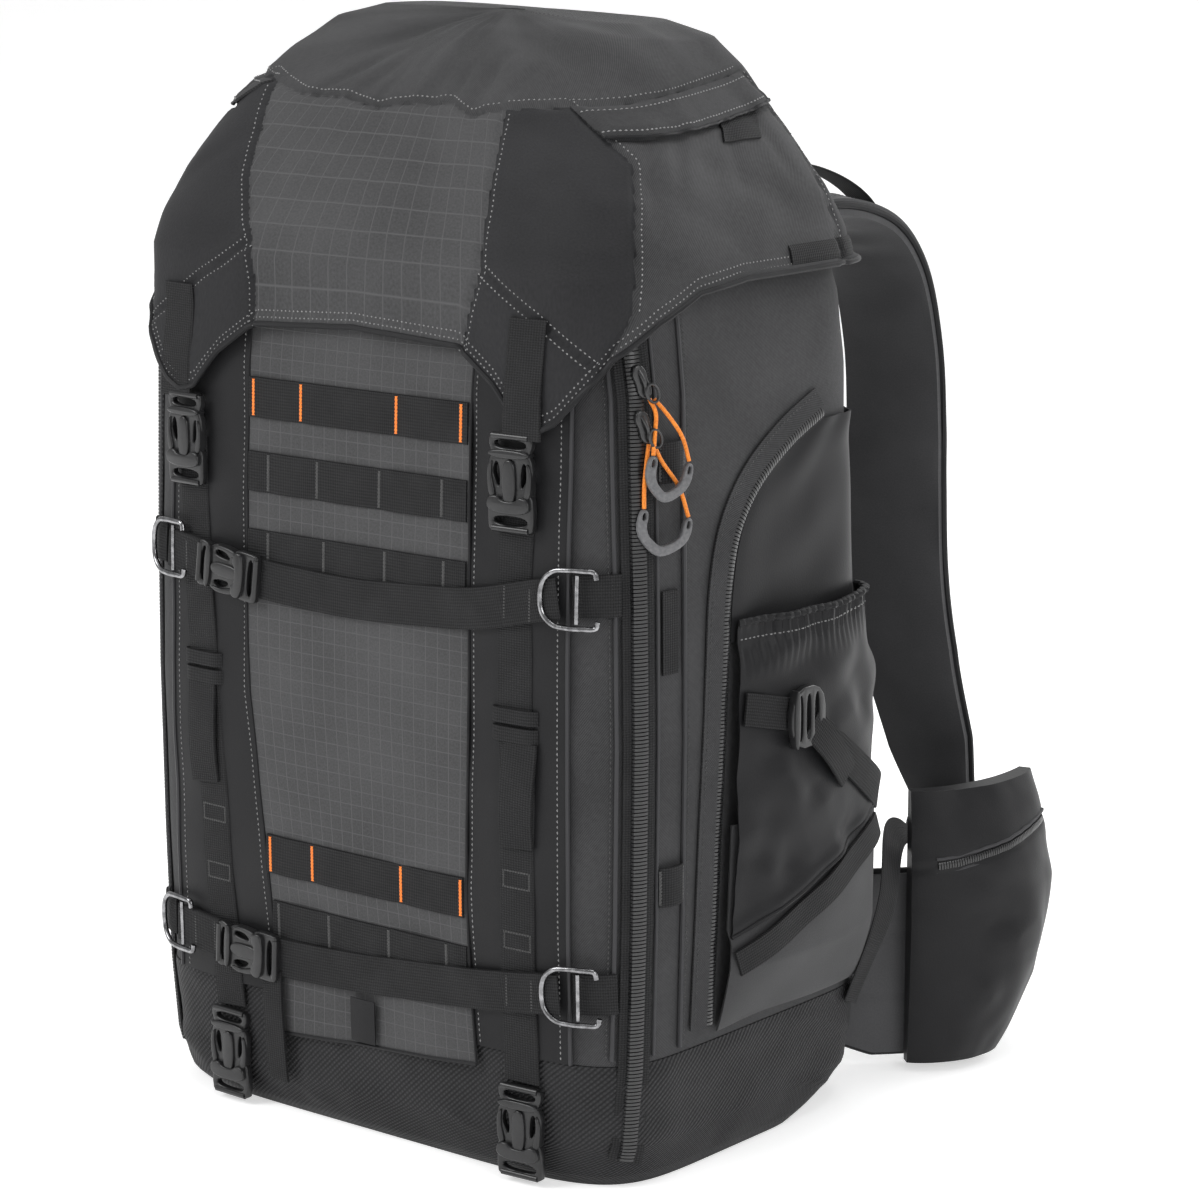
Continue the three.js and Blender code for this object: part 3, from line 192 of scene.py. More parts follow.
def curve_through(points, shares):
    """Points of a centripetal curve through the given ones, at shares of its spans."""
    p = np.asarray(points, float)
    p = np.vstack([2 * p[0] - p[1], p, 2 * p[-1] - p[-2]])
    found = []
    spans = len(p) - 3
    for share in np.atleast_1d(shares):
        i = min(int(share * spans), spans - 1)
        w = share * spans - i
        a, b, c, d = p[i:i + 4]
        ab, bc, cd = (max(np.linalg.norm(v) ** 0.5, 1e-4) for v in (b - a, c - b, d - c))
        at_b = ((b - a) / ab - (c - a) / (ab + bc) + (c - b) / bc) * bc
        at_c = ((c - b) / bc - (d - b) / (bc + cd) + (d - c) / cd) * bc
        e, f = 2 * b - 2 * c + at_b + at_c, -3 * b + 3 * c - 2 * at_b - at_c
        found.append(b + w * (at_b + w * (f + w * e)))
    return np.array(found)


def nodes_of(name):
    """A new material, its nodes, its links and its shader."""
    made = bpy.data.materials.new(name)
    made.use_nodes = True
    tree = made.node_tree
    shader = next(n for n in tree.nodes if n.type == "BSDF_PRINCIPLED")
    return made, tree.nodes, tree.links, shader


def set_shader(shader, rough, sheen=0.0, specular=0.5, metal=0.0, coat=0.0):
    shader.inputs["Roughness"].default_value = rough
    shader.inputs["Sheen Weight"].default_value = sheen
    shader.inputs["Sheen Roughness"].default_value = 0.45
    shader.inputs["Specular IOR Level"].default_value = specular
    shader.inputs["Metallic"].default_value = metal
    shader.inputs["Coat Weight"].default_value = coat
    shader.inputs["Coat Roughness"].default_value = 0.25


def tint(nodes, links, shader, field, dark, light, low=0.3, high=0.7):
    """The colour runs from dark to light as a field, given by its output socket, goes from low to high."""
    ramp = nodes.new("ShaderNodeValToRGB")
    ramp.color_ramp.elements[0].position = low
    ramp.color_ramp.elements[0].color = (*dark, 1)
    ramp.color_ramp.elements[1].position = high
    ramp.color_ramp.elements[1].color = (*light, 1)
    links.new(field, ramp.inputs[0])
    links.new(ramp.outputs["Color"], shader.inputs["Base Color"])
    return ramp


def relief(nodes, links, shader, field, depth, strength=0.6, under=None):
    """A bump from a field, its depth in millimetres, laid over another bump where one is given."""
    bump = nodes.new("ShaderNodeBump")
    bump.inputs["Strength"].default_value = strength
    bump.inputs["Distance"].default_value = depth * MM
    links.new(field, bump.inputs["Height"])
    if under is not None:
        links.new(under.outputs["Normal"], bump.inputs["Normal"])
    links.new(bump.outputs["Normal"], shader.inputs["Normal"])
    return bump


def cloth_place(nodes, links, size, turn=0.0):
    """The place along and across the cloth, in threads of the given size in millimetres."""
    place = nodes.new("ShaderNodeAttribute")
    place.attribute_name = "weave"
    mapping = nodes.new("ShaderNodeMapping")
    mapping.inputs["Rotation"].default_value = (0, 0, math.radians(turn))
    mapping.inputs["Scale"].default_value = (1 / size, 1 / size, 1 / size)
    links.new(place.outputs["Vector"], mapping.inputs["Vector"])
    return mapping.outputs["Vector"]


def noise(nodes, links, place, scale, detail=3.0):
    made = nodes.new("ShaderNodeTexNoise")
    made.inputs["Scale"].default_value = scale
    made.inputs["Detail"].default_value = detail
    links.new(place, made.inputs["Vector"])
    return made.outputs["Fac"]


def bands(nodes, links, place, profile="SIN", distortion=0.0):
    """Threads side by side across the first direction of the cloth place."""
    made = nodes.new("ShaderNodeTexWave")
    made.wave_profile = profile
    made.inputs["Scale"].default_value = math.pi / 10
    made.inputs["Distortion"].default_value = distortion
    made.inputs["Detail"].default_value = 1.0
    links.new(place, made.inputs["Vector"])
    return made.outputs["Fac"]


def sums(nodes, links, a, b, share=0.5, how="MIX"):
    made = nodes.new("ShaderNodeMix")
    made.blend_type = how
    made.data_type = "RGBA"
    made.inputs["Factor"].default_value = share
    links.new(a, made.inputs["A"])
    links.new(b, made.inputs["B"])
    return made.outputs["Result"]


orange_braid, nodes, links, shader = nodes_of("orange_braid")
set_shader(shader, 0.6, sheen=0.15)
braid_place = nodes.new("ShaderNodeTexCoord").outputs["Object"]
braid = noise(nodes, links, braid_place, 900)
tint(nodes, links, shader, braid, (0.62, 0.14, 0.004), (0.95, 0.3, 0.02))
relief(nodes, links, shader, braid, 0.4)

for name, pull in PULLS.items():
    for leg in ("front", "rear"):
        route = curve_through([pull_point(pull["below"], p) for p in pull[leg]], np.linspace(0, 1, 19))
        line = bpy.data.curves.new(f"pull_cord_{name}_{leg}_braid", "CURVE")
        line.dimensions = "3D"
        line.bevel_depth = PULL_CORD / 2
        line.bevel_resolution = 3
        line.use_fill_caps = True
        spline = line.splines.new("POLY")
        spline.points.add(len(route) - 1)
        for point, at in zip(spline.points, placed(route), strict=True):
            point.co = (*at, 1)
        cord = bpy.data.objects.new(line.name, line)
        bpy.context.scene.collection.objects.link(cord)
        line.materials.append(orange_braid)
        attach(cord, "root")
        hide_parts(f"pull_cord_{name}_{leg}")

# Grips of the zip pulls
# Each grip is a flat U of grey moulded rubber with rounded edges, threaded on the two cord legs. It
# replaces the plain solid in the same place; its slot holes show as dark eyes at the ends of its arms.
GRIPS = {"upper": ([0.0155, 0.0048, -0.058], 31), "lower": ([0.014, 0.0006, -0.064], 37)}
GRIP_HEIGHT = 25
GRIP_BAR = 6
GRIP_THICK = 4
GRIP_TILT = math.radians(-14)


def rounded(corners, times=2):
    """An outline with its corners cut round."""
    p = np.asarray(corners, float)
    for _ in range(times):
        after = np.roll(p, -1, axis=0)
        p = np.stack([0.75 * p + 0.25 * after, 0.25 * p + 0.75 * after], 1).reshape(-1, 2)
    return p


def plate(name, outline, holes, thick, edge, rounds=2):
    """A flat moulded piece in its own plane, its back at height 0, with rounded edges and holes."""
    flat = bpy.data.curves.new(name, "CURVE")
    flat.dimensions = "2D"
    flat.fill_mode = "BOTH"
    flat.extrude = thick / 2 - edge
    flat.bevel_depth = edge
    flat.bevel_resolution = 2
    flat.offset = -edge
    for ring, turns in [(outline, rounds), *((hole, 2) for hole in holes)]:
        spline = flat.splines.new("POLY")
        corners = rounded(ring, turns)
        spline.points.add(len(corners) - 1)
        spline.use_cyclic_u = True
        for point, (x, y) in zip(spline.points, corners, strict=True):
            point.co = (x, y, 0, 1)
    holder = bpy.data.objects.new(name + "_flat", flat)
    bpy.context.scene.collection.objects.link(holder)
    bpy.context.view_layer.update()
    mesh = bpy.data.meshes.new_from_object(holder.evaluated_get(bpy.context.evaluated_depsgraph_get()))
    bpy.data.objects.remove(holder)
    bpy.data.curves.remove(flat)
    points = np.array([v.co for v in mesh.vertices])
    points[:, 2] += thick / 2
    faces = [tuple(f.vertices) for f in mesh.polygons]
    bpy.data.meshes.remove(mesh)
    return points, faces


def sewn(name, points, faces, material, weave=None, sharp=38, mend=True):
    """A piece of the bag from its points in millimetres and its faces; weave is the place along the cloth."""
    mesh = bpy.data.meshes.new(name)
    mesh.from_pydata(placed(points).tolist(), [], [list(map(int, f)) for f in faces])
    if weave is not None:
        there = mesh.attributes.new("weave", "FLOAT_VECTOR", "POINT")
        there.data.foreach_set("vector", np.asarray(weave, np.float32).ravel())
    if mend:
        work = bmesh.new()
        work.from_mesh(mesh)
        bmesh.ops.remove_doubles(work, verts=work.verts, dist=1e-6)
        bmesh.ops.recalc_face_normals(work, faces=work.faces)
        work.to_mesh(mesh)
        work.free()
    mesh.shade_smooth()
    mesh.set_sharp_from_angle(angle=math.radians(sharp))
    mesh.materials.append(material)
    made = bpy.data.objects.new(name, mesh)
    bpy.context.scene.collection.objects.link(made)
    return made


def on_bag(made, slot, *solids):
    """The piece moves with the bag's one body and stands for those solids; slot is not used."""
    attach(made, "root")
    if solids:
        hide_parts(*solids)
    return made


def turned(points, spin):
    c, s = math.cos(spin), math.sin(spin)
    x, y = points[:, 0], points[:, 1]
    return np.stack([c * x - s * y, s * x + c * y, points[:, 2]], -1)


def in_plane(points, centre, across, up, out):
    return centre + points[:, :1] * across + points[:, 1:2] * up + points[:, 2:3] * out


grey_rubber, nodes, links, shader = nodes_of("grey_rubber")
set_shader(shader, 0.55, specular=0.4)
rubber_place = nodes.new("ShaderNodeTexCoord").outputs["Object"]
rubber_grain = noise(nodes, links, rubber_place, 500)
tint(nodes, links, shader, rubber_grain, (0.10, 0.10, 0.105), (0.155, 0.155, 0.16))
relief(nodes, links, shader, rubber_grain, 0.15)

UP = np.array([0.0, 0.0, 1.0])
for name, (place, wide) in GRIPS.items():
    w, h, bar = wide / 2, GRIP_HEIGHT / 2, GRIP_BAR
    arm = [[w * 0.24, -h], [w, -h * 0.16], [w, h], [w - bar, h], [w - bar, -h * 0.02], [w * 0.12, -h + bar]]
    ring = arm + [[-x, y] for x, y in reversed(arm)]
    eyes = [[[s * (w - bar * 0.68), h * 0.5], [s * (w - bar * 0.68), h * 0.86],
             [s * (w - bar * 0.32), h * 0.86], [s * (w - bar * 0.32), h * 0.5]] for s in (-1, 1)]
    points, faces = plate(f"pull_hoop_{name}", ring, eyes, GRIP_THICK, 1.1)
    centre = pull_point(PULLS[name]["below"], place)
    grip = sewn(f"pull_hoop_{name}_rubber", in_plane(turned(points, GRIP_TILT), centre, PULL_ACROSS, UP, PULL_OUT),
                faces, grey_rubber)
    on_bag(grip, "grip_rubber", f"pull_hoop_{name}")
    for leg in ("front", "rear"):
        route = curve_through([pull_point(PULLS[name]["below"], p) for p in PULLS[name][leg]],
                              np.linspace(0, 1, 19))
        length = float(np.linalg.norm(np.diff(route, axis=0), axis=1).sum() * MM)

# Camera
# The photograph was taken from the bag's front right, a little above its middle, with a long lens. The
# frame is taken to be 1199 by 1200 pixels.
FRAME_SIDE = 1200
FOCAL_PIXELS = 3700
CAMERA_DISTANCE = 2370
CAMERA_TARGET = (37, 41, 318)
camera_turn, camera_rise = math.radians(39), math.radians(11.5)
camera_back = np.array([math.sin(camera_turn) * math.cos(camera_rise),
                        -math.cos(camera_turn) * math.cos(camera_rise), math.sin(camera_rise)])
camera = bpy.data.objects.new("camera", bpy.data.cameras.new("camera"))
bpy.context.scene.collection.objects.link(camera)
camera.location = placed(np.array(CAMERA_TARGET) + camera_back * CAMERA_DISTANCE)
camera.rotation_mode = "QUATERNION"
camera.rotation_quaternion = Vector(-camera_back).to_track_quat("-Z", "Y")
camera.data.sensor_width = 36
camera.data.lens = 36 * FOCAL_PIXELS / FRAME_SIDE
camera.data.clip_end = 50
bpy.context.scene.camera = camera

# Boot
# The tray that the bag stands on is coarse woven nylon, coated black, with a diagonal weave and soft
# creases where it is pulled round the corners. It is sewn to the shell along its upper edge.
BOOT_HEIGHT = 80


def fold_noise(u, v, size, seed):
    """Smooth bumps of about the given size, from -1 to 1, the same on every run."""
    grid = np.random.default_rng(seed).uniform(-1, 1, (64, 64))
    x, y = np.asarray(u, float) / size, np.asarray(v, float) / size
    i, j = np.floor(x).astype(int), np.floor(y).astype(int)
    a, b = x - i, y - j
    a, b = a * a * (3 - 2 * a), b * b * (3 - 2 * b)
    value = lambda p, q: grid[p % 64, q % 64]
    return mix(mix(value(i, j), value(i + 1, j), a), mix(value(i, j + 1), value(i + 1, j + 1), a), b)


def grid_faces(rows, columns, wrap=False, start=0):
    last = columns if wrap else columns - 1
    r, c = np.meshgrid(np.arange(rows - 1), np.arange(last), indexing="ij")
    r, c = r.ravel(), c.ravel()
    n = (c + 1) % columns
    return start + np.stack([r * columns + c, r * columns + n, (r + 1) * columns + n, (r + 1) * columns + c], -1)


def lengths_along(points):
    """The distance run along each row and each column of a grid of points, averaged, as cloth places."""
    across = np.linalg.norm(np.diff(points, axis=1), axis=-1).mean(0)
    along = np.linalg.norm(np.diff(points, axis=0), axis=-1).mean(1)
    u, v = np.meshgrid(np.concatenate([[0], np.cumsum(across)]), np.concatenate([[0], np.cumsum(along)]))
    return np.stack([u, v, np.zeros_like(u)], -1)


def cloth(name, points, out, thick, material, wrap=False, sharp=38, ends=True):
    """A sheet from its outer points, rows by columns: its inner face lies a thickness behind."""
    rows, columns = points.shape[:2]
    size = rows * columns
    inner = points - out * thick
    outer_faces = grid_faces(rows, columns, wrap)
    faces = [*outer_faces, *grid_faces(rows, columns, wrap, size)[:, ::-1]]
    if ends:
        r, c = np.arange(rows - 1), np.arange(columns if wrap else columns - 1)
        n = (c + 1) % columns
        for row in (0, rows - 1):
            faces += [*np.stack([row * columns + c, row * columns + n, size + row * columns + n,
                                 size + row * columns + c], -1)]
        if not wrap:
            for column in (0, columns - 1):
                a, b = r * columns + column, (r + 1) * columns + column
                faces += [*np.stack([a, b, size + b, size + a], -1)]
    weave = lengths_along(points)
    both = np.concatenate([points.reshape(-1, 3), inner.reshape(-1, 3)])
    return sewn(name, both, faces, material, np.concatenate([weave.reshape(-1, 3)] * 2), sharp, mend=False)


def grid_out(points, like):
    """The outward direction of each point of a grid, on the side of the given directions."""
    normal = unit(np.cross(np.gradient(points, axis=1), np.gradient(points, axis=0)))
    return normal * np.where((normal * like).sum(-1, keepdims=True) < 0, -1.0, 1.0)


coarse_nylon, nodes, links, shader = nodes_of("coarse_boot_nylon")
set_shader(shader, 0.62, sheen=0.02, specular=0.2)
weft = bands(nodes, links, cloth_place(nodes, links, 2.6, 45))
warp = bands(nodes, links, cloth_place(nodes, links, 2.6, -45))
basket = sums(nodes, links, weft, warp, 0.5, "MULTIPLY")
grime = noise(nodes, links, cloth_place(nodes, links, 60), 1.0, 4)
tint(nodes, links, shader, sums(nodes, links, basket, grime, 0.45), (0.006, 0.006, 0.0065),
     (0.038, 0.038, 0.04), 0.15, 0.75)
relief(nodes, links, shader, basket, 0.9, 0.9)

boot_z = np.concatenate([np.linspace(0, 20, 9), np.linspace(23, BOOT_HEIGHT - 0.3, 18)])
around = np.linspace(-1, 1, 281)[:-1]
z_grid, share_grid = np.meshgrid(boot_z, around, indexing="ij")
place_grid = share_grid * half_girth(z_grid)
crease = 1.7 * fold_noise(place_grid, z_grid * 0.8, 42, 5) + 0.8 * fold_noise(place_grid, z_grid, 15, 6)
crease += 1.6 * np.clip(fold_noise(place_grid * 0.35 + z_grid, z_grid * 0.25 - place_grid * 0.1, 11, 7), 0, 1) ** 2
soft = np.clip(z_grid / 14, 0, 1) * np.clip((BOOT_HEIGHT - z_grid) / 8, 0, 1)
points, out = skin(place_grid, z_grid, 0.9 * soft + crease * soft)
base_centre = points[0].mean(0)
foot_rows = [base_centre + (points[0] - base_centre) * t for t in (0.02, 0.5, 0.94)]
foot = np.stack([p * [1, 1, 0] for p in foot_rows])
out_foot = np.broadcast_to(np.array([0, 0, -1.0]), foot.shape)
boot = cloth("boot_cloth", np.concatenate([foot, points]), np.concatenate([out_foot, out]), 2.5, coarse_nylon,
             wrap=True, sharp=60)
on_bag(boot, "coarse_boot_cloth", "base_boot")

# Main shell
# The padded wall of the main compartment is dark grey twill nylon over foam, sewn round from the boot to
# the rim under the lid. It is open at the top, under the lid.
SHELL_WALL = 6


def twill_finish(name, dark, light, thread=1.15):
    """Twill nylon: fine diagonal ribs, cloudy wear and a slight sheen."""
    made, nodes, links, shader = nodes_of(name)
    set_shader(shader, 0.8, sheen=0.06, specular=0.22)
    ribs = bands(nodes, links, cloth_place(nodes, links, thread, 38), distortion=0.6)
    slub = noise(nodes, links, cloth_place(nodes, links, 3.2, 38), 1.0, 4)
    cloud = noise(nodes, links, cloth_place(nodes, links, 70), 1.0, 5)
    thread_mix = sums(nodes, links, ribs, slub, 0.5)
    tint(nodes, links, shader, sums(nodes, links, thread_mix, cloud, 0.45), dark, light, 0.3, 0.72)
    relief(nodes, links, shader, thread_mix, 0.35, 0.7)
    return made


dark_twill = twill_finish("dark_twill_nylon", (0.022, 0.022, 0.023), (0.058, 0.058, 0.060))
shell_z = np.concatenate([np.linspace(BOOT_HEIGHT, 520, 66), np.linspace(525, BODY_HEIGHT, 8)])
z_grid, share_grid = np.meshgrid(shell_z, np.linspace(-1, 1, 221)[:-1], indexing="ij")
place_grid = share_grid * half_girth(z_grid)
ripple = 0.9 * fold_noise(place_grid, z_grid, 55, 11) + 0.35 * fold_noise(place_grid, z_grid, 18, 12)
points, out = skin(place_grid, z_grid, ripple * np.clip((z_grid - BOOT_HEIGHT) / 12, 0, 1) * 0.6 - 0.6)
shell = cloth("shell_cloth", points, out, SHELL_WALL, dark_twill, wrap=True)
on_bag(shell, "twill_cloth", "main_shell")

# Lid
# A domed hood of twill with a lighter ripstop front panel, two smooth black corners and a zip flap along each side,
# with a thin dark line of painted shade along the flap's lower edge. The panels are joined by folded seams with a
# row of pale topstitching, and its rim hangs over the shell.
LID_RIM = 547
LID_RISE = 146
LID_LEAN = 7
LID_WALL = 2.2
LID_OVER = 7.4
LID_PLANS = np.array([
    [0.0, 1.0, 0.985, 0.83, 7], [0.12, 0.985, 0.955, 0.825, 6.5], [0.3, 0.935, 0.87, 0.775, 6],
    [0.5, 0.86, 0.745, 0.68, 5.5], [0.66, 0.775, 0.645, 0.61, 5.5], [0.8, 0.715, 0.46, 0.56, 5],
    [0.92, 0.64, 0.23, 0.49, 4.5], [0.985, 0.5, 0.07, 0.38, 4], [1.0, 0.02, 0.01, 0.01, 2.5],
])
RIM_DROPS = np.array([[0, 0.93], [0.13, 0.922], [0.172, 0.887], [0.203, 0.845], [0.222, 0.84], [0.24, 0.85],
                      [0.3, 0.92], [0.345, 0.955], [0.4, 0.982], [0.47, 0.991], [1, 0.994]])
rim_turns = np.arctan2(outline_x[-1], -outline_y[-1])


def rim_level(turn):
    """The height of the lid's lower edge in a direction from the front centre."""
    share = np.interp(np.abs(turn), rim_turns, SHARES)
    return LID_RIM * np.interp(share, RIM_DROPS[:, 0], RIM_DROPS[:, 1])


lid_ups = np.linspace(0, 1, 401)
lid_sizes = np.stack(plan_sizes(LID_PLANS, lid_ups), -1)
window = np.hanning(25) / np.hanning(25).sum()
padded_sizes = np.concatenate([2 * lid_sizes[:1] - lid_sizes[12:0:-1], lid_sizes, np.repeat(lid_sizes[-1:], 12, 0)])
soft_sizes = np.stack([np.convolve(padded_sizes[:, k], window, "valid") for k in range(4)], -1)
keep = np.clip((0.93 - lid_ups) / 0.1, 0, 1)[:, None]
soft_sizes = mix(lid_sizes, soft_sizes, keep)


def lid_at(turn, z, grow=0.0):
    """Points of the lid's outside in a direction at a height; over the rim the height leans with the lid."""
    turn, z = np.broadcast_arrays(np.asarray(turn, float), np.asarray(z, float))
    up = np.clip((z - LID_RIM) / LID_RISE, 0, 1)
    sizes = tuple(np.interp(up, lid_ups, soft_sizes[:, k]) for k in range(4))
    x, y = plan_point(sizes, turn, np.where(up > 0.97, 0, grow))
    level = rim_level(turn)
    share = np.clip((z - level) / (LID_RIM - level), 0, 1)
    below = plan_sizes(BODY_PLANS, np.minimum(z, BODY_HEIGHT * 0.93) / BODY_HEIGHT)
    xb, yb = plan_point(below, turn, LID_OVER + grow)
    under = z < LID_RIM
    x, y = np.where(under, mix(xb, x, share ** 2), x), np.where(under, mix(yb, y, share ** 2), y)
    lean = LID_LEAN * up * -x / HALF_WIDTH
    return np.stack([x, y, np.maximum(z, level) + lean], -1)


# Seams of the lid: directions in degrees from the front centre, and heights.
PANEL_LEFT = [[-52, 645], [-41.7, 602], [-31.9, 558], [-29.8, 530], [-29.4, 470]]
PANEL_RIGHT = [[38.4, 641], [35.4, 595], [33.8, 552], [31.9, 529], [30.1, 505], [30.1, 470]]
PANEL_HEAD = [[-52, 645], [-42.3, 640], [-27, 640], [-13.6, 636], [-2, 640], [10.1, 641], [19, 643], [27.6, 636],
              [38.4, 641]]
CORNER_RIGHT = [[38.4, 641], [53.7, 645], [58.4, 628], [62.0, 614], [59.4, 576], [57.7, 528], [53.6, 500], [52, 440]]
CORNER_LEFT = [[-52, 645], [-59, 649], [-62, 614], [-59.4, 576], [-57.7, 528], [-53.6, 500], [-52, 440]]
DIAGONAL_RIGHT = [[33.8, 552], [38.5, 540], [44, 526], [49, 510], [53, 497]]
DIAGONAL_LEFT = [[-31.9, 556], [-37, 543], [-42, 532], [-47, 518], [-53, 500]]
FLAP_HEAD = [[53.7, 645], [66, 648], [80, 652], [94, 657], [107.8, 662]]
FLAP_FOOT = [[58.4, 628], [66, 628], [80, 630], [94, 635], [111.8, 642]]
BACK_SEAM = [[107.8, 662], [113.2, 612], [111, 580], [109.3, 545]]


def seam_line(chart, step=2.0):
    """Evenly spaced chart places along a seam."""
    chart = np.asarray(chart, float)
    at = lid_at(np.radians(chart[:, 0]), chart[:, 1])
    run = np.concatenate([[0], np.cumsum(np.linalg.norm(np.diff(at, axis=0), axis=1))])
    s = np.linspace(0, run[-1], max(2, int(run[-1] / step)))
    return np.stack([np.interp(s, run, chart[:, 0]), np.interp(s, run, chart[:, 1])], -1)


def inside(chart, corners):
    """Which chart places lie inside a closed outline."""
    x, y = chart[..., 0], chart[..., 1]
    found = np.zeros(x.shape, bool)
    p = np.asarray(corners, float)
    for (x1, y1), (x2, y2) in zip(p, np.roll(p, -1, axis=0), strict=True):
        crosses = (y1 > y) != (y2 > y)
        found ^= crosses & (x < (x2 - x1) * (y - y1) / np.where(y2 == y1, 1e-9, y2 - y1) + x1)
    return found


mirror = lambda rows: [[-a, z] for a, z in rows]
lid_seams = [PANEL_LEFT, PANEL_RIGHT, PANEL_HEAD, CORNER_RIGHT, CORNER_LEFT, DIAGONAL_RIGHT, DIAGONAL_LEFT,
             FLAP_HEAD, mirror(FLAP_HEAD), FLAP_FOOT, mirror(FLAP_FOOT), BACK_SEAM, mirror(BACK_SEAM)]
ripstop_outline = PANEL_HEAD + PANEL_RIGHT[1:] + PANEL_LEFT[:0:-1]
right_outline = CORNER_RIGHT + PANEL_RIGHT[:0:-1]
left_outline = CORNER_LEFT + PANEL_LEFT[:0:-1]

# Creases of the lid's cloth: chart places of both ends, half width and depth.
LID_CREASES = [
    ([-38, 642], [-30, 668], 5, 2.2), ([-24, 640], [-20, 672], 6, 2.6), ([-13, 637], [-14, 664], 5, 2.4),
    ([-2, 641], [-5, 662], 5, 1.6), ([10, 642], [12, 676], 7, 2.6), ([19, 643], [24, 664], 4, 1.6),
    ([28, 637], [38, 668], 6, 2.8), ([36, 641], [50, 664], 5, 1.6), ([40, 636], [52, 618], 7, 1.5),
    ([45, 600], [58, 566], 9, 1.5), ([37, 590], [52, 575], 10, 1.3), ([36, 556], [54, 556], 8, 1.2),
    ([66, 622], [63, 585], 7, 1.8), ([74, 626], [70, 596], 6, 1.4), ([90, 630], [88, 600], 8, 1.6),
    ([64, 600], [84, 560], 10, 1.7), ([80, 612], [104, 574], 11, 1.8), ([60, 560], [72, 536], 8, 1.4),
    ([-20, 625], [-22, 560], 10, 1.2), ([18, 622], [22, 575], 12, 1.2), ([0, 600], [2, 540], 14, 1.0),
    ([-45, 620], [-55, 580], 8, 1.6), ([100, 640], [104, 600], 6, 1.4), ([70, 690], [100, 668], 14, 2.2),
    ([20, 684], [60, 668], 12, 1.8), ([-60, 690], [-40, 664], 14, 2.0), ([-110, 620], [-75, 575], 12, 1.8),
]

lid_turns = np.radians(np.interp(np.linspace(0, 1, 421)[:-1], [0, 0.18, 0.5, 0.82, 1], [-180, -90, 0, 90, 180]))
skirt_shares = np.linspace(0, 1, 25)[:-1]
rises = np.concatenate([np.linspace(0, 0.9, 66), np.linspace(0.91, 0.999, 12)])
turn_rows = np.concatenate([np.broadcast_to(lid_turns, (len(skirt_shares), len(lid_turns))),
                            np.broadcast_to(lid_turns, (len(rises), len(lid_turns)))])
z_rows = np.concatenate([mix(rim_level(lid_turns)[None], LID_RIM, skirt_shares[:, None]),
                         np.broadcast_to(LID_RIM + LID_RISE * rises[:, None], (len(rises), len(lid_turns)))])
points = lid_at(turn_rows, z_rows)
out = grid_out(points, points - [0, 0, 560.0])
chart = np.stack([np.degrees(turn_rows), z_rows], -1)

seam_places = np.concatenate([seam_line(s) for s in lid_seams])
seam_at = lid_at(np.radians(seam_places[:, 0]), seam_places[:, 1])


def distance_to(points, targets):
    tree = KDTree(len(targets))
    for i, target in enumerate(targets):
        tree.insert(target, i)
    tree.balance()
    flat = points.reshape(-1, 3)
    return np.array([tree.find(p)[2] for p in flat]).reshape(points.shape[:-1])


def creased(points, creases, at):
    """How deep each point lies in the listed creases."""
    depth = np.zeros(points.shape[:-1])
    for start, end, width, deep in creases:
        a, b = at(start), at(end)
        line = b - a
        t = np.clip(((points - a) @ line) / (line @ line), 0, 1)
        gap = np.linalg.norm(points - (a + t[..., None] * line), axis=-1)
        depth += deep * np.exp(-(gap / width) ** 2) * (0.35 + 0.65 * hump(mix(0.15, 0.95, t)))
    return depth


from_seam = distance_to(points, seam_at)
u_lid = np.degrees(turn_rows) * 3.2
swell = 1.5 * (1 - np.exp(-from_seam / 9)) - 1.5 * np.exp(-(from_seam / 1.7) ** 2)
swell += 0.55 * np.exp(-((from_seam - 5.0) / 2.6) ** 2)
rumple = 1.1 * fold_noise(u_lid, z_rows, 48, 21) + 0.7 * fold_noise(u_lid, z_rows * 0.8, 21, 22)
pucker = fold_noise(u_lid * 1.0, z_rows * 0.25, 8, 23) * np.exp(-from_seam / 7) * 0.7
crown = np.clip((z_rows - LID_RIM - 0.93 * LID_RISE) / (0.06 * LID_RISE), 0, 1)
lift = (swell + rumple + pucker) * (1 - crown) - creased(points, LID_CREASES, lambda c: lid_at(
    math.radians(c[0]), c[1]))
lift += 0.8 * np.exp(-((z_rows - rim_level(turn_rows)) / 5) ** 2)
points = points + out * lift[..., None]
lid_out = grid_out(points, out)

in_ripstop = inside(chart, ripstop_outline)
in_black = inside(chart, right_outline) | inside(chart, left_outline)
rear_flap = (np.abs(chart[..., 0]) > np.interp(chart[..., 1], [545, 580, 612, 662], [109.3, 111, 113.2, 107.8])) & (
    chart[..., 1] < 662)
panel_edge = np.concatenate([lid_at(np.radians(s[:, 0]), s[:, 1]) for s in map(
    seam_line, (PANEL_LEFT, PANEL_RIGHT, PANEL_HEAD))])
corner_edge = np.concatenate([lid_at(np.radians(s[:, 0]), s[:, 1]) for s in map(
    seam_line, (PANEL_LEFT, PANEL_RIGHT, CORNER_LEFT, CORNER_RIGHT))])
ripstop_field = distance_to(points, panel_edge) * np.where(in_ripstop, 1, -1)
black_field = distance_to(points, corner_edge) * np.where(in_black, 1, -1)

lid_cloth, nodes, links, shader = nodes_of("lid_cloths")
set_shader(shader, 0.74, sheen=0.04, specular=0.2)
twill_ribs = bands(nodes, links, cloth_place(nodes, links, 1.15, 38), distortion=0.6)
slub = noise(nodes, links, cloth_place(nodes, links, 3.2, 38), 1.0, 4)
cloud = noise(nodes, links, cloth_place(nodes, links, 70), 1.0, 5)
plain = noise(nodes, links, cloth_place(nodes, links, 1.4), 1.0, 2)


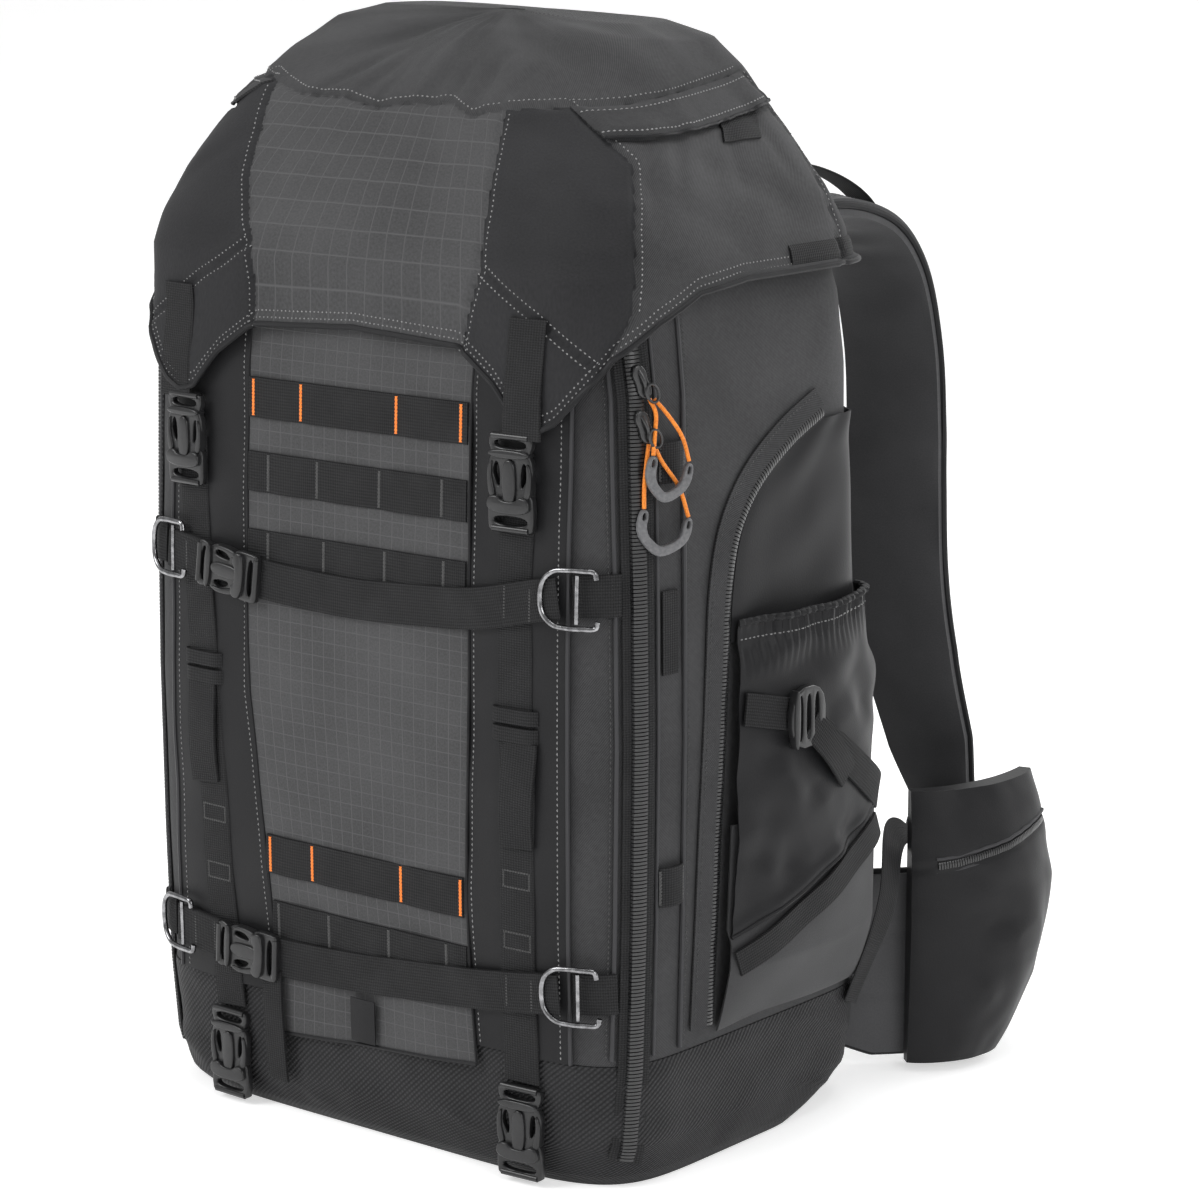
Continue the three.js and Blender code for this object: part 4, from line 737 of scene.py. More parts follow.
def ripstop_lines(nodes, links, across, along):
    """The heavy threads of ripstop cloth: single lines along the cloth and up it, in a grid."""
    rows = nodes.new("ShaderNodeSeparateXYZ")
    links.new(cloth_place(nodes, links, 1.0), rows.inputs[0])
    found = []
    for axis, pitch, width in (("Y", across, 0.05), ("X", along, 0.05)):
        share = nodes.new("ShaderNodeMath")
        share.operation = "DIVIDE"
        share.inputs[1].default_value = pitch
        links.new(rows.outputs[axis], share.inputs[0])
        wrap = nodes.new("ShaderNodeMath")
        wrap.operation = "PINGPONG"
        wrap.inputs[1].default_value = 0.5
        links.new(share.outputs[0], wrap.inputs[0])
        line = nodes.new("ShaderNodeMapRange")
        line.inputs["From Min"].default_value = 0.0
        line.inputs["From Max"].default_value = width
        line.inputs["To Min"].default_value = 1.0
        line.inputs["To Max"].default_value = 0.0
        links.new(wrap.outputs[0], line.inputs["Value"])
        found.append(line.outputs[0])
    most = nodes.new("ShaderNodeMath")
    most.operation = "MAXIMUM"
    links.new(found[0], most.inputs[0])
    links.new(found[1], most.inputs[1])
    return most.outputs[0]


def region(nodes, links, name):
    """1 inside a region of the cloth and 0 outside, from a distance kept on the mesh."""
    field = nodes.new("ShaderNodeAttribute")
    field.attribute_name = name
    edge = nodes.new("ShaderNodeMapRange")
    edge.inputs["From Min"].default_value = -0.2
    edge.inputs["From Max"].default_value = 0.2
    links.new(field.outputs["Fac"], edge.inputs["Value"])
    return edge.outputs[0]


def colours(nodes, links, field, dark, light, low=0.3, high=0.7):
    ramp = nodes.new("ShaderNodeValToRGB")
    ramp.color_ramp.elements[0].position = low
    ramp.color_ramp.elements[0].color = (*dark, 1)
    ramp.color_ramp.elements[1].position = high
    ramp.color_ramp.elements[1].color = (*light, 1)
    links.new(field, ramp.inputs[0])
    return ramp.outputs["Color"]


def choose(nodes, links, field, off, on):
    made = nodes.new("ShaderNodeMix")
    made.data_type = "RGBA"
    links.new(field, made.inputs["Factor"])
    links.new(off, made.inputs["A"])
    links.new(on, made.inputs["B"])
    return made.outputs["Result"]


twill_thread = sums(nodes, links, twill_ribs, slub, 0.5)
twill_colour = colours(nodes, links, sums(nodes, links, twill_thread, cloud, 0.5), (0.024, 0.024, 0.025),
                       (0.064, 0.064, 0.066), 0.3, 0.72)
heavy = ripstop_lines(nodes, links, 16, 11)
rip_ground = colours(nodes, links, sums(nodes, links, plain, cloud, 0.5), (0.036, 0.036, 0.037),
                     (0.074, 0.074, 0.076), 0.3, 0.7)
rip_light = nodes.new("ShaderNodeRGB")
rip_light.outputs[0].default_value = (0.088, 0.088, 0.09, 1)
rip_colour = choose(nodes, links, heavy, rip_ground, rip_light.outputs[0])
black_colour = colours(nodes, links, sums(nodes, links, plain, cloud, 0.6), (0.010, 0.010, 0.011),
                       (0.028, 0.028, 0.030), 0.25, 0.75)
ripstop_here = region(nodes, links, "ripstop")
black_here = region(nodes, links, "black")
colour = choose(nodes, links, ripstop_here, twill_colour, rip_colour)
links.new(choose(nodes, links, black_here, colour, black_colour), shader.inputs["Base Color"])
thread_height = choose(nodes, links, ripstop_here, twill_thread, heavy)
relief(nodes, links, shader, choose(nodes, links, black_here, thread_height, plain), 0.35, 0.7)

lid = cloth("lid_hood", points, lid_out, LID_WALL, lid_cloth, wrap=True, sharp=60)
for name, field in (("ripstop", ripstop_field), ("black", np.where(rear_flap, 5.0, black_field))):
    there = lid.data.attributes.new(name, "FLOAT", "POINT")
    there.data.foreach_set("value", np.concatenate([field.ravel()] * 2).astype(np.float32))
on_bag(lid, "twill_cloth", "lid")

# Topstitching of the lid
# A row of pale grey thread runs a few millimetres beside each folded seam and along the rim. Each stitch is
# a small arched bead of thread that dips into the cloth at both ends.
STITCH_PITCH = 3.4


def thread_finish(name, dark, light):
    made, nodes, links, shader = nodes_of(name)
    set_shader(shader, 0.6, sheen=0.2)
    place = nodes.new("ShaderNodeTexCoord").outputs["Object"]
    twist = noise(nodes, links, place, 1400)
    tint(nodes, links, shader, twist, dark, light)
    relief(nodes, links, shader, twist, 0.2)
    return made


def stitches(line, out, pitch=STITCH_PITCH, gauge=0.55):
    """A row of stitches along a line of points on the cloth."""
    run = np.concatenate([[0], np.cumsum(np.linalg.norm(np.diff(line, axis=0), axis=1))])
    starts = np.arange(pitch * 0.5, run[-1] - pitch, pitch)
    at = lambda s, rows: np.stack([np.interp(s, run, rows[:, k]) for k in range(3)], -1)
    a, m, b = (at(starts + pitch * t, line) for t in (0.08, 0.42, 0.76))
    up = unit(at(starts + pitch * 0.42, out))
    side = unit(np.cross(up, b - a)) * gauge
    rings = [a - up * 0.3, m + up * gauge - side * 0.2, m + side + up * 0.1, m - side + up * 0.1, b - up * 0.3]
    points = np.stack(rings, 1).reshape(-1, 3)
    first = 5 * np.arange(len(starts))[:, None]
    shape = [[0, 1, 2], [0, 3, 1], [4, 2, 1], [4, 1, 3], [0, 2, 3], [4, 3, 2]]
    faces = np.concatenate([first + np.array(face) for face in shape])
    return points, faces


def joined(parts):
    """Several lots of points and faces as one."""
    points, faces, count = [], [], 0
    for p, f in parts:
        points.append(np.asarray(p, float).reshape(-1, 3))
        faces += [[int(i) + count for i in face] for face in f]
        count += len(points[-1])
    return np.concatenate(points), faces


def thread_work(name, lots, thread, slot):
    """Rows of stitches or bartacks as one piece."""
    on_bag(sewn(name, *joined(lots), thread, mend=False), slot)


pale_thread = thread_finish("pale_topstitch", (0.16, 0.16, 0.16), (0.3, 0.3, 0.3))
lid_tree = KDTree(points.shape[0] * points.shape[1])
lid_flat, lid_out_flat = points.reshape(-1, 3), lid_out.reshape(-1, 3)
for i, p in enumerate(lid_flat):
    lid_tree.insert(p, i)
lid_tree.balance()


def on_lid(places):
    """Chart places brought onto the finished lid cloth."""
    at = lid_at(np.radians(places[:, 0]), places[:, 1])
    found = []
    for p in at:
        near = lid_tree.find_n(p, 3)
        weights = np.array([1 / (d + 0.2) for _, _, d in near])
        out = unit((lid_out_flat[[i for _, i, _ in near]] * weights[:, None]).sum(0))
        level = (((lid_flat[[i for _, i, _ in near]] - p) @ out) * weights).sum() / weights.sum()
        found.append((p + out * level, out))
    return np.array([f[0] for f in found]), np.array([f[1] for f in found])


def beside(chart, gap):
    """A seam's places moved sideways over the cloth by a gap in millimetres."""
    places = seam_line(chart)
    at = lid_at(np.radians(places[:, 0]), places[:, 1])
    ahead = unit(np.gradient(at, axis=0))
    out = unit(at * [1, 1, 0.35] - [0, 0, 180])
    side = unit(np.cross(out, ahead))
    moved = at + side * gap
    return np.stack([np.degrees(np.arctan2(moved[:, 0], -moved[:, 1])), places[:, 1] + (moved - at)[:, 2]], -1)


stitch_rows = [(PANEL_LEFT, -3.5), (PANEL_RIGHT, 3.5), (PANEL_HEAD, 4), (CORNER_RIGHT[:6], 4), (CORNER_LEFT[:6], -4),
               (DIAGONAL_RIGHT, 3.5), (DIAGONAL_RIGHT, -3.5), (DIAGONAL_LEFT, 3.5), (DIAGONAL_LEFT, -3.5),
               (FLAP_HEAD, 3.5), (mirror(FLAP_HEAD), -3.5), (BACK_SEAM, 4), (mirror(BACK_SEAM), -4)]
lots = [stitches(*on_lid(beside(chart, gap))) for chart, gap in stitch_rows]
rim_degrees = np.linspace(-180, 180, 700)
for rise in (4.5, 9):
    rim_places = np.stack([rim_degrees, rim_level(np.radians(rim_degrees)) + rise], -1)
    lots.append(stitches(*on_lid(rim_places)))
lid_stitching = sewn("lid_topstitching", *joined(lots), pale_thread, mend=False)
on_bag(lid_stitching, "twill_cloth")

# Rim binding and zip flaps of the lid
# The rim is folded over a cord of black binding. On each side a flap of twill, about 23 mm deep, covers the
# zip of the lid's compartment: it is sewn along its upper edge and stands a little proud of the cloth
# below.


def tube(line, radius, sides=8, closed=False):
    """A round tube along a line of points."""
    line = np.asarray(line, float)
    ahead = unit(np.gradient(line, axis=0))
    side = np.cross(ahead, [0.13, 0.21, 0.97])
    side = unit(side)
    up = np.cross(side, ahead)
    turns = np.linspace(0, 2 * np.pi, sides, endpoint=False)
    size = np.broadcast_to(np.asarray(radius, float), (len(line),))[:, None, None]
    ring = np.cos(turns)[None, :, None] * side[:, None] + np.sin(turns)[None, :, None] * up[:, None]
    points = line[:, None] + ring * size
    faces = [list(f) for f in grid_faces(len(line), sides, wrap=True)]
    if closed:
        last = (len(line) - 1) * sides
        faces += [[last + i, last + (i + 1) % sides, (i + 1) % sides, i] for i in range(sides)]
    else:
        faces += [list(range(sides))[::-1], [(len(line) - 1) * sides + i for i in range(sides)]]
    return points.reshape(-1, 3), faces


def round_trim(name, line, radius, sides, material, slot):
    """Piping or binding along a line, with its material."""
    on_bag(sewn(name, *tube(line, radius, sides), material), slot)


def smooth_black(name, dark=(0.008, 0.008, 0.009), light=(0.019, 0.019, 0.02), sheen=0.02, rough=0.5):
    """Smooth nylon: a close plain weave with a soft sheen and cloudy handling marks."""
    made, nodes, links, shader = nodes_of(name)
    set_shader(shader, rough, sheen=sheen, specular=0.17)
    weave = noise(nodes, links, cloth_place(nodes, links, 1.1), 1.0, 2)
    cloud = noise(nodes, links, cloth_place(nodes, links, 55), 1.0, 5)
    tint(nodes, links, shader, sums(nodes, links, weave, cloud, 0.6), dark, light, 0.25, 0.75)
    relief(nodes, links, shader, weave, 0.2, 0.5)
    return made


binding_black = smooth_black("binding_black")
rim_line, _ = on_lid(np.stack([rim_degrees, rim_level(np.radians(rim_degrees)) + 0.4], -1))
rim_binding = sewn("lid_rim_binding", *tube(rim_line[:-1], 1.7, 8, closed=True), binding_black)
on_bag(rim_binding, "twill_cloth")
for side, name in ((1, "right"), (-1, "left")):
    head, foot = seam_line(FLAP_HEAD, 4), seam_line(FLAP_FOOT, 4)
    share = np.linspace(0, 1, 70)
    ends = [np.stack([np.interp(share * (len(row) - 1), np.arange(len(row)), row[:, k]) for k in (0, 1)], -1)
            for row in (head, foot)]
    rows = []
    for t in np.linspace(0, 1, 12):
        places = mix(ends[0], ends[1], t) * [side, 1]
        at, out = on_lid(places)
        proud = 0.6 + 3.2 * t ** 1.5 + 0.8 * fold_noise(share * 260, t * 30, 34, 31)
        rows.append(np.stack([at + out * proud[:, None], out]))
    flap_points = np.array([r[0] for r in rows])
    flap = cloth(f"lid_zip_flap_{name}", flap_points, grid_out(flap_points, np.array([r[1] for r in rows])), 1.6,
                 dark_twill)
    on_bag(flap, "twill_cloth")
    flap_edge = np.array([r[0] for r in rows])[-1]
    # A thin black tube along the flap's free edge is painted shade: a dark line for the shadow under the proud flap.
    shade = sewn(f"lid_flap_edge_shade_{name}", *tube(flap_edge, 1.0, 6), binding_black)
    on_bag(shade, "twill_cloth")
    lots = [stitches(row + r * 0.2, r) for row, r in (
        (flap_points[2], rows[2][1]), (flap_points[-3], rows[-3][1]))]
    thread_work(f"lid_flap_stitching_{name}", lots, pale_thread, "twill_cloth")

# Front panel
# A centre panel of light grey ripstop nylon whose lower end is a loose flap with bound edges, with a seam
# to the black band on each side. It lies flat on the shell and swells slightly between the webbing rows.
PANEL_HALF = 91
PANEL_BOTTOM = 62
PANEL_HEIGHT = 470
FABRIC = 1.4
PANEL_EDGES = np.array([[0.0, 0.8, 1.04], [0.09, 0.8, 1.0], [0.25, 0.88, 0.96], [0.45, 1.0, 1.0], [1.0, 1.0, 1.0]])
PANEL_LIFT = 2.0


def panel_edge(z, side):
    share = (np.asarray(z, float) - PANEL_BOTTOM) / PANEL_HEIGHT
    return PANEL_HALF * np.interp(share, PANEL_EDGES[:, 0], PANEL_EDGES[:, 1 if side < 0 else 2])


panel_ripstop, nodes, links, shader = nodes_of("panel_ripstop_nylon")
set_shader(shader, 0.72, sheen=0.06, specular=0.24)
panel_weave = noise(nodes, links, cloth_place(nodes, links, 1.3), 1.0, 2)
panel_cloud = noise(nodes, links, cloth_place(nodes, links, 80), 1.0, 5)
panel_lines = ripstop_lines(nodes, links, 9, 9)
panel_ground = colours(nodes, links, sums(nodes, links, panel_weave, panel_cloud, 0.5), (0.036, 0.036, 0.037),
                       (0.074, 0.074, 0.076), 0.3, 0.7)
panel_light = nodes.new("ShaderNodeRGB")
panel_light.outputs[0].default_value = (0.088, 0.088, 0.09, 1)
links.new(choose(nodes, links, panel_lines, panel_ground, panel_light.outputs[0]), shader.inputs["Base Color"])
relief(nodes, links, shader, panel_lines, 0.25, 0.6)

panel_z = np.linspace(PANEL_BOTTOM, PANEL_BOTTOM + PANEL_HEIGHT, 150)
z_grid, t_grid = np.meshgrid(panel_z, np.linspace(0, 1, 61), indexing="ij")
low_edge = 8 * np.clip(1 - (z_grid - PANEL_BOTTOM) / 40, 0, 1) ** 2
z_grid = z_grid + low_edge * (t_grid - 0.5) * 1.6
place_grid = mix(-panel_edge(z_grid, -1), panel_edge(z_grid, 1), t_grid)
edge_gap = np.minimum(t_grid, 1 - t_grid) * 2 * PANEL_HALF
swell = 0.9 * (1 - np.exp(-edge_gap / 10)) + 0.8 * fold_noise(place_grid, z_grid, 45, 41)
swell += 0.5 * fold_noise(place_grid, z_grid * 0.5, 17, 42) * np.exp(-edge_gap / 25)
loose = np.clip(1 - (z_grid - PANEL_BOTTOM) / 60, 0, 1)
swell += loose * (1.4 + 1.6 * fold_noise(place_grid, z_grid * 0.4, 30, 43))
points, out = skin(place_grid, z_grid, PANEL_LIFT + np.clip(swell, -0.9, 4))
front_panel = cloth("front_panel_cloth", points, grid_out(points, out), FABRIC, panel_ripstop)
on_bag(front_panel, "ripstop_cloth", "front_panel")
panel_points, panel_out = points, out

# Side bands
# Between the centre panel and the zips a band of smooth black nylon runs down each side of the front. The
# upright straps lie on it; a bound seam with piping closes its outer edge.
BAND_WIDTH = 71
band_black = smooth_black("band_black_nylon")
grey_piping = smooth_black("grey_piping", (0.03, 0.03, 0.032), (0.06, 0.06, 0.063))
for side, name in ((-1, "left"), (1, "right")):
    z_grid, t_grid = np.meshgrid(np.linspace(BOOT_HEIGHT + 0.3, PANEL_BOTTOM + PANEL_HEIGHT, 120),
                                 np.linspace(0, 1, 23), indexing="ij")
    place_grid = side * mix(panel_edge(z_grid, side) + 0.5, PANEL_HALF + BAND_WIDTH, t_grid)
    swell = 0.8 * hump(t_grid) + 0.9 * fold_noise(place_grid, z_grid * 0.7, 28, 51 + side)
    points, out = skin(place_grid, z_grid, PANEL_LIFT - 0.2 + np.clip(swell, -0.8, 2))
    band = cloth(f"side_band_{name}_cloth", points, grid_out(points, out), FABRIC, band_black)
    on_bag(band, "smooth_cloth", f"side_band_{name}")
    lots = [stitches(points[:, c] + out[:, c] * 0.2, out[:, c]) for c in (1, 20)]
    thread_work(f"side_band_{name}_stitching", lots, pale_thread, "smooth_cloth")
    round_trim(f"side_band_{name}_piping", points[:, -1] + out[:, -1] * 0.3, 1.3, 6, grey_piping, "smooth_cloth")
    seam = panel_points[:, 0 if side < 0 else -1] + panel_out[:, 0 if side < 0 else -1] * 0.2
    round_trim(f"panel_seam_{name}", seam, 0.9, 6, binding_black, "smooth_cloth")
foot = panel_points[0] + panel_out[0] * 0.2
round_trim("panel_flap_binding", foot, 1.2, 6, binding_black, "smooth_cloth")

# Webbing rows
# Rows of 25 mm black nylon webbing are sewn across the centre panel with bartacks, so that pouches can be
# hung from the loops between them. The upper and lower rows have orange bartacks, the others black ones.
WEBBING = 25
WEBBING_THICK = 1.5
ROW_LIFT = 2.5
webbing_black, nodes, links, shader = nodes_of("webbing_black")
set_shader(shader, 0.7, sheen=0.02, specular=0.18)
web_ribs = bands(nodes, links, cloth_place(nodes, links, 1.9))
web_picks = bands(nodes, links, cloth_place(nodes, links, 1.5, 90))
web_mesh = sums(nodes, links, web_ribs, web_picks, 0.5)
web_wear = noise(nodes, links, cloth_place(nodes, links, 30), 1.0, 4)
tint(nodes, links, shader, sums(nodes, links, web_mesh, web_wear, 0.5), (0.007, 0.007, 0.0075),
     (0.024, 0.024, 0.025), 0.25, 0.75)
relief(nodes, links, shader, web_mesh, 0.45, 0.8)
orange_thread = thread_finish("orange_bartack_thread", (0.75, 0.13, 0.004), (1.0, 0.27, 0.02))
black_thread = thread_finish("black_bartack_thread", (0.012, 0.012, 0.012), (0.05, 0.05, 0.05))


def webbing(name, place, z, lift, width=WEBBING, thick=WEBBING_THICK, bow=0.0):
    """Webbing laid on the body along places and heights, with thin woven edges."""
    place, z = np.asarray(place, float), np.asarray(z, float)
    ds, dz = np.gradient(place), np.gradient(z)
    length = np.hypot(ds, dz)
    across = np.array([-0.5, -0.485, -0.42, -0.25, 0, 0.25, 0.42, 0.485, 0.5]) * width
    edge = np.array([-0.7, -0.15, 0, 0, 0, 0, 0, -0.15, -0.7])
    around = place[:, None] + across * (dz / length)[:, None]
    height = z[:, None] - across * (ds / length)[:, None]
    top = np.broadcast_to(np.asarray(lift, float), place.shape)[:, None] + thick + edge + bow
    points, out = skin(around, height, top)
    return cloth(name, points, out, thick * 0.8, webbing_black), points, out


def bartack(place, z, length, lift, wide=2.8, turn=90.0):
    """One bartack: a close block of satin stitches, by default upright across the webbing."""
    v, u = np.meshgrid(np.linspace(-0.5, 0.5, 41), np.linspace(-0.5, 0.5, 6), indexing="ij")
    c, s = math.cos(math.radians(turn)), math.sin(math.radians(turn))
    a, b = v * length * c - u * wide * s, v * length * s + u * wide * c
    height = 0.75 * np.cos(np.pi * u) ** 0.5 * (0.7 + 0.3 * np.cos(v * 40 * np.pi / 2)) - 0.25
    points, _ = skin(place + a, z + b, lift + height)
    return points.reshape(-1, 3), [list(f) for f in grid_faces(*u.shape)]


ROWS = {  # height of the middle, bartack thread, places of the bartacks
    "webbing_row_upper": (459.5, orange_thread, (-85, -45, 33, 84), True),
    "webbing_row_middle": (413.5, black_thread, (-72, -31, 20, 70), True),
    "webbing_row_lower": (171.5, orange_thread, (-74, -38, 36, 84), True),
    "webbing_row_crossed_upper": (365, black_thread, (-72, -25, 25, 72), False),
    "webbing_row_crossed_lower": (129, black_thread, (-68, -25, 25, 72), False),
}
for name, (z, thread, tacks, in_frame) in ROWS.items():
    place = np.linspace(-panel_edge(z, -1) + 2, panel_edge(z, 1) - 2, 90)
    near = np.min(np.abs(place[:, None] - np.array([place[0], *tacks, place[-1]])), axis=1)
    loop = 1.1 * (1 - np.exp(-(near / 9) ** 2))
    made, points, out = webbing(name + "_loops", place, np.full(90, z), ROW_LIFT + loop)
    on_bag(made, "webbing", *([name] if in_frame else []))
    lots = [bartack(t, z, WEBBING * 0.9, ROW_LIFT + WEBBING_THICK) for t in tacks]
    thread_work(name + "_bartacks", lots, thread, "webbing")

# Upright straps
# Two black webbing straps run down the bands from the buckles under the lid to the buckles at the base.
# They lean outwards a little, pass through elastic keepers, and are sewn down with stitched boxes.
STRAP_SPREAD_TOP, STRAP_SPREAD_BASE, STRAP_DRIFT = 133, 121, 7
BUCKLE_WIDTH, BUCKLE_LENGTH, BUCKLE_THICK = 33, 58, 8
LID_BUCKLE_HEIGHT, BASE_BUCKLE_HEIGHT = 429, 33
STRAP_TOP, STRAP_BASE = 430, 64
SIDES = (("left", -1), ("right", 1))


def upright(side, z):
    t = (np.asarray(z, float) - STRAP_BASE) / (STRAP_TOP - STRAP_BASE)
    return mix(side * STRAP_SPREAD_BASE + STRAP_DRIFT, side * STRAP_SPREAD_TOP - STRAP_DRIFT, t)


for name, side in SIDES:
    z = np.linspace(STRAP_BASE, STRAP_TOP, 120)
    sway = 0.9 * np.sin(z / 31) + 0.5 * np.sin(z / 13 + side)
    strap, _, _ = webbing(f"front_strap_{name}_webbing", upright(side, z) + sway * 0.5, z, ROW_LIFT - 0.2)
    on_bag(strap, "webbing", f"front_strap_{name}")
    tail_z = np.linspace(210, 275, 30)
    tail, _, _ = webbing(f"front_strap_{name}_tail", upright(side, tail_z) + side * 3 + 2 * np.sin(tail_z / 20),
                         tail_z, ROW_LIFT + 2.0 + 1.2 * hump((275 - tail_z) / 60), WEBBING * 0.96)
    on_bag(tail, "webbing")
    lots = []
    for z_box in (190, 152):
        for gap in (-5, 5):
            lots.append(bartack(upright(side, z_box), z_box + gap, WEBBING * 0.82, ROW_LIFT + 1.2, 1.6, 0.0))
        for gap in (-9.5, 9.5):
            lots.append(bartack(upright(side, z_box) + gap, z_box, 10, ROW_LIFT + 1.2, 1.6))
    thread_work(f"front_strap_{name}_box_stitching", lots, black_thread, "webbing")
    for keeper, z_keeper in (("upper", 290), ("lower", 279)):
        span = np.linspace(-16.5, 16.5, 25)
        lift = ROW_LIFT + 3.0 - 3.2 * (np.abs(span) / 16.5) ** 6
        loop, _, _ = webbing(f"keeper_{keeper}_{name}", upright(side, z_keeper) + span, np.full(25, z_keeper),
                             lift, 9, 1.2)
        on_bag(loop, "webbing")

# Crossing straps
# Two straps cross the front and hang slack between the hooks that hold them: each has a small buckle on the
# left and its ends turn round the hooks, with a doubled, stitched layer beside each hook.
CROSS_UPPER, CROSS_LOWER = 346, 112
HOOK_SPREAD, HOOK_WIDTH, HOOK_HEIGHT, HOOK_WIRE = 161, 28, 34, 3.4
CROSS_LIFT = 4.5
CROSS_DROOP = np.array([[-1.3, 0.52, 0.05], [-1, 0.5, 0.0], [-0.5, 0.05, -0.28], [0, -0.08, -0.16],
                        [0.6, 0.16, 0.2], [1, 0.8, 0.55], [1.3, 0.86, 0.6]])
CROSS_BUCKLES = {"upper": -101, "lower": -91}


def cross_height(level, around):
    base, column = (CROSS_UPPER, 1) if level == "upper" else (CROSS_LOWER, 2)
    soft = sum(np.interp(np.asarray(around, float) / HOOK_SPREAD + s, CROSS_DROOP[:, 0], CROSS_DROOP[:, column])
               for s in (-0.12, -0.06, 0, 0.06, 0.12)) / 5
    return base + WEBBING * soft


for level in ("upper", "lower"):
    around = np.linspace(-HOOK_SPREAD + 8, HOOK_SPREAD - 8, 150)
    wave = 1.0 * fold_noise(around, around * 0, 34, 61) + 0.6
    strap, _, _ = webbing(f"{level}_cross_strap_webbing", around, cross_height(level, around),
                          CROSS_LIFT + np.clip(wave, 0, 2))
    on_bag(strap, "webbing", f"{level}_cross_strap")
    for name, side in SIDES:
        inner = side * np.linspace(HOOK_SPREAD - 42, HOOK_SPREAD - 3, 24)
        doubled, _, _ = webbing(f"{level}_cross_double_{name}", inner, cross_height(level, inner),
                                CROSS_LIFT + 1.9)
        on_bag(doubled, "webbing")
        start = HOOK_SPREAD + 5
        z_base = CROSS_UPPER if level == "upper" else CROSS_LOWER
        stop = float(flank_at(z_base)) - ZIP_PLACE - 11
        anchor_place = side * np.linspace(start, stop, 24)
        anchor, _, _ = webbing(f"{level}_anchor_{name}_webbing", anchor_place, cross_height(level, anchor_place),
                               2.6 + 1.0 * hump(np.linspace(0, 1, 24)))
        on_bag(anchor, "webbing", f"{level}_anchor_{name}")
        at = side * (HOOK_SPREAD - 30)
        lots = [bartack(at - side * 9, cross_height(level, at), 19, CROSS_LIFT + 3.2, 1.8),
                bartack(at + side * 9, cross_height(level, at), 19, CROSS_LIFT + 3.2, 1.8)]
        lots += [bartack(side * (stop - 5), cross_height(level, side * stop), 21, 4.2, 2.0)]
        thread_work(f"{level}_cross_stitching_{name}", lots, black_thread, "webbing")

# Gate hooks
# Each crossing strap is held by bent hooks of polished dark steel wire, round at the outer end, with a
# sliding bar under the strap. They lie flat on the band and hold the strap's turned end.
hook_steel, nodes, links, shader = nodes_of("dark_polished_steel")
set_shader(shader, 0.22, metal=1.0)
steel_place = nodes.new("ShaderNodeTexCoord").outputs["Object"]
steel_wear = noise(nodes, links, steel_place, 260, 4)
tint(nodes, links, shader, steel_wear, (0.16, 0.16, 0.165), (0.34, 0.34, 0.35), 0.35, 0.65)
relief(nodes, links, shader, steel_wear, 0.05, 0.3)
HOOK_OUTLINE = [[0.66, 0.36], [0.62, 0.48], [0.42, 0.5], [0.1, 0.5], [-0.2, 0.46], [-0.42, 0.28], [-0.48, 0],
                [-0.42, -0.28], [-0.2, -0.46], [0.1, -0.5], [0.42, -0.5], [0.66, -0.48], [0.7, -0.36]]
for level in ("upper", "lower"):
    for name, side in SIDES:
        z_hook = cross_height(level, side * HOOK_SPREAD)
        outline = curve_through([[a, b, 0] for a, b in HOOK_OUTLINE], np.linspace(0, 1, 70))
        line, _ = skin(side * HOOK_SPREAD + outline[:, 0] * HOOK_WIDTH, z_hook + outline[:, 1] * HOOK_HEIGHT,
                       6.5 + HOOK_WIRE / 2 + 0.4)
        hook = sewn(f"{level}_hook_{name}_wire", *tube(line, HOOK_WIRE / 2, 12), hook_steel, sharp=60)
        on_bag(hook, "hook_steel", f"{level}_hook_{name}")
        bar_at = np.linspace(-0.42, 0.42, 12) * HOOK_HEIGHT
        bar_line, _ = skin(np.full(12, side * HOOK_SPREAD + 0.3 * HOOK_WIDTH), z_hook + bar_at, 8.2)
        on_bag(sewn(f"{level}_hook_bar_{name}", *tube(bar_line, 1.3, 10), hook_steel, sharp=60), "hook_steel")

# Side-release buckles
# Moulded black acetal: a frame with two curved prongs that show through its side windows, a raised centre
# tongue, and a bar at each end that the webbing turns round. The crossing straps' buckles are smaller and
# lie sideways.
buckle_black, nodes, links, shader = nodes_of("satin_black_acetal")
set_shader(shader, 0.3, specular=0.4, coat=0.1)
mould_place = nodes.new("ShaderNodeTexCoord").outputs["Object"]
mould = noise(nodes, links, mould_place, 700, 2)
scuff = noise(nodes, links, mould_place, 60, 5)
tint(nodes, links, shader, sums(nodes, links, mould, scuff, 0.6), (0.008, 0.008, 0.0085), (0.022, 0.022, 0.023))
relief(nodes, links, shader, mould, 0.08, 0.4)


def fitted(points, around, z, lift, spin=0.0):
    """A fitting drawn flat, X along the body and Y up, laid on the body."""
    at, out = skin(around, z, lift)
    along = unit(np.array([-out[1], out[0], 0]))
    return in_plane(turned(points, spin), at, along, np.cross(out, along), out)


def box_ring(x0, x1, y0, y1):
    return [[x0, y0], [x1, y0], [x1, y1], [x0, y1]]


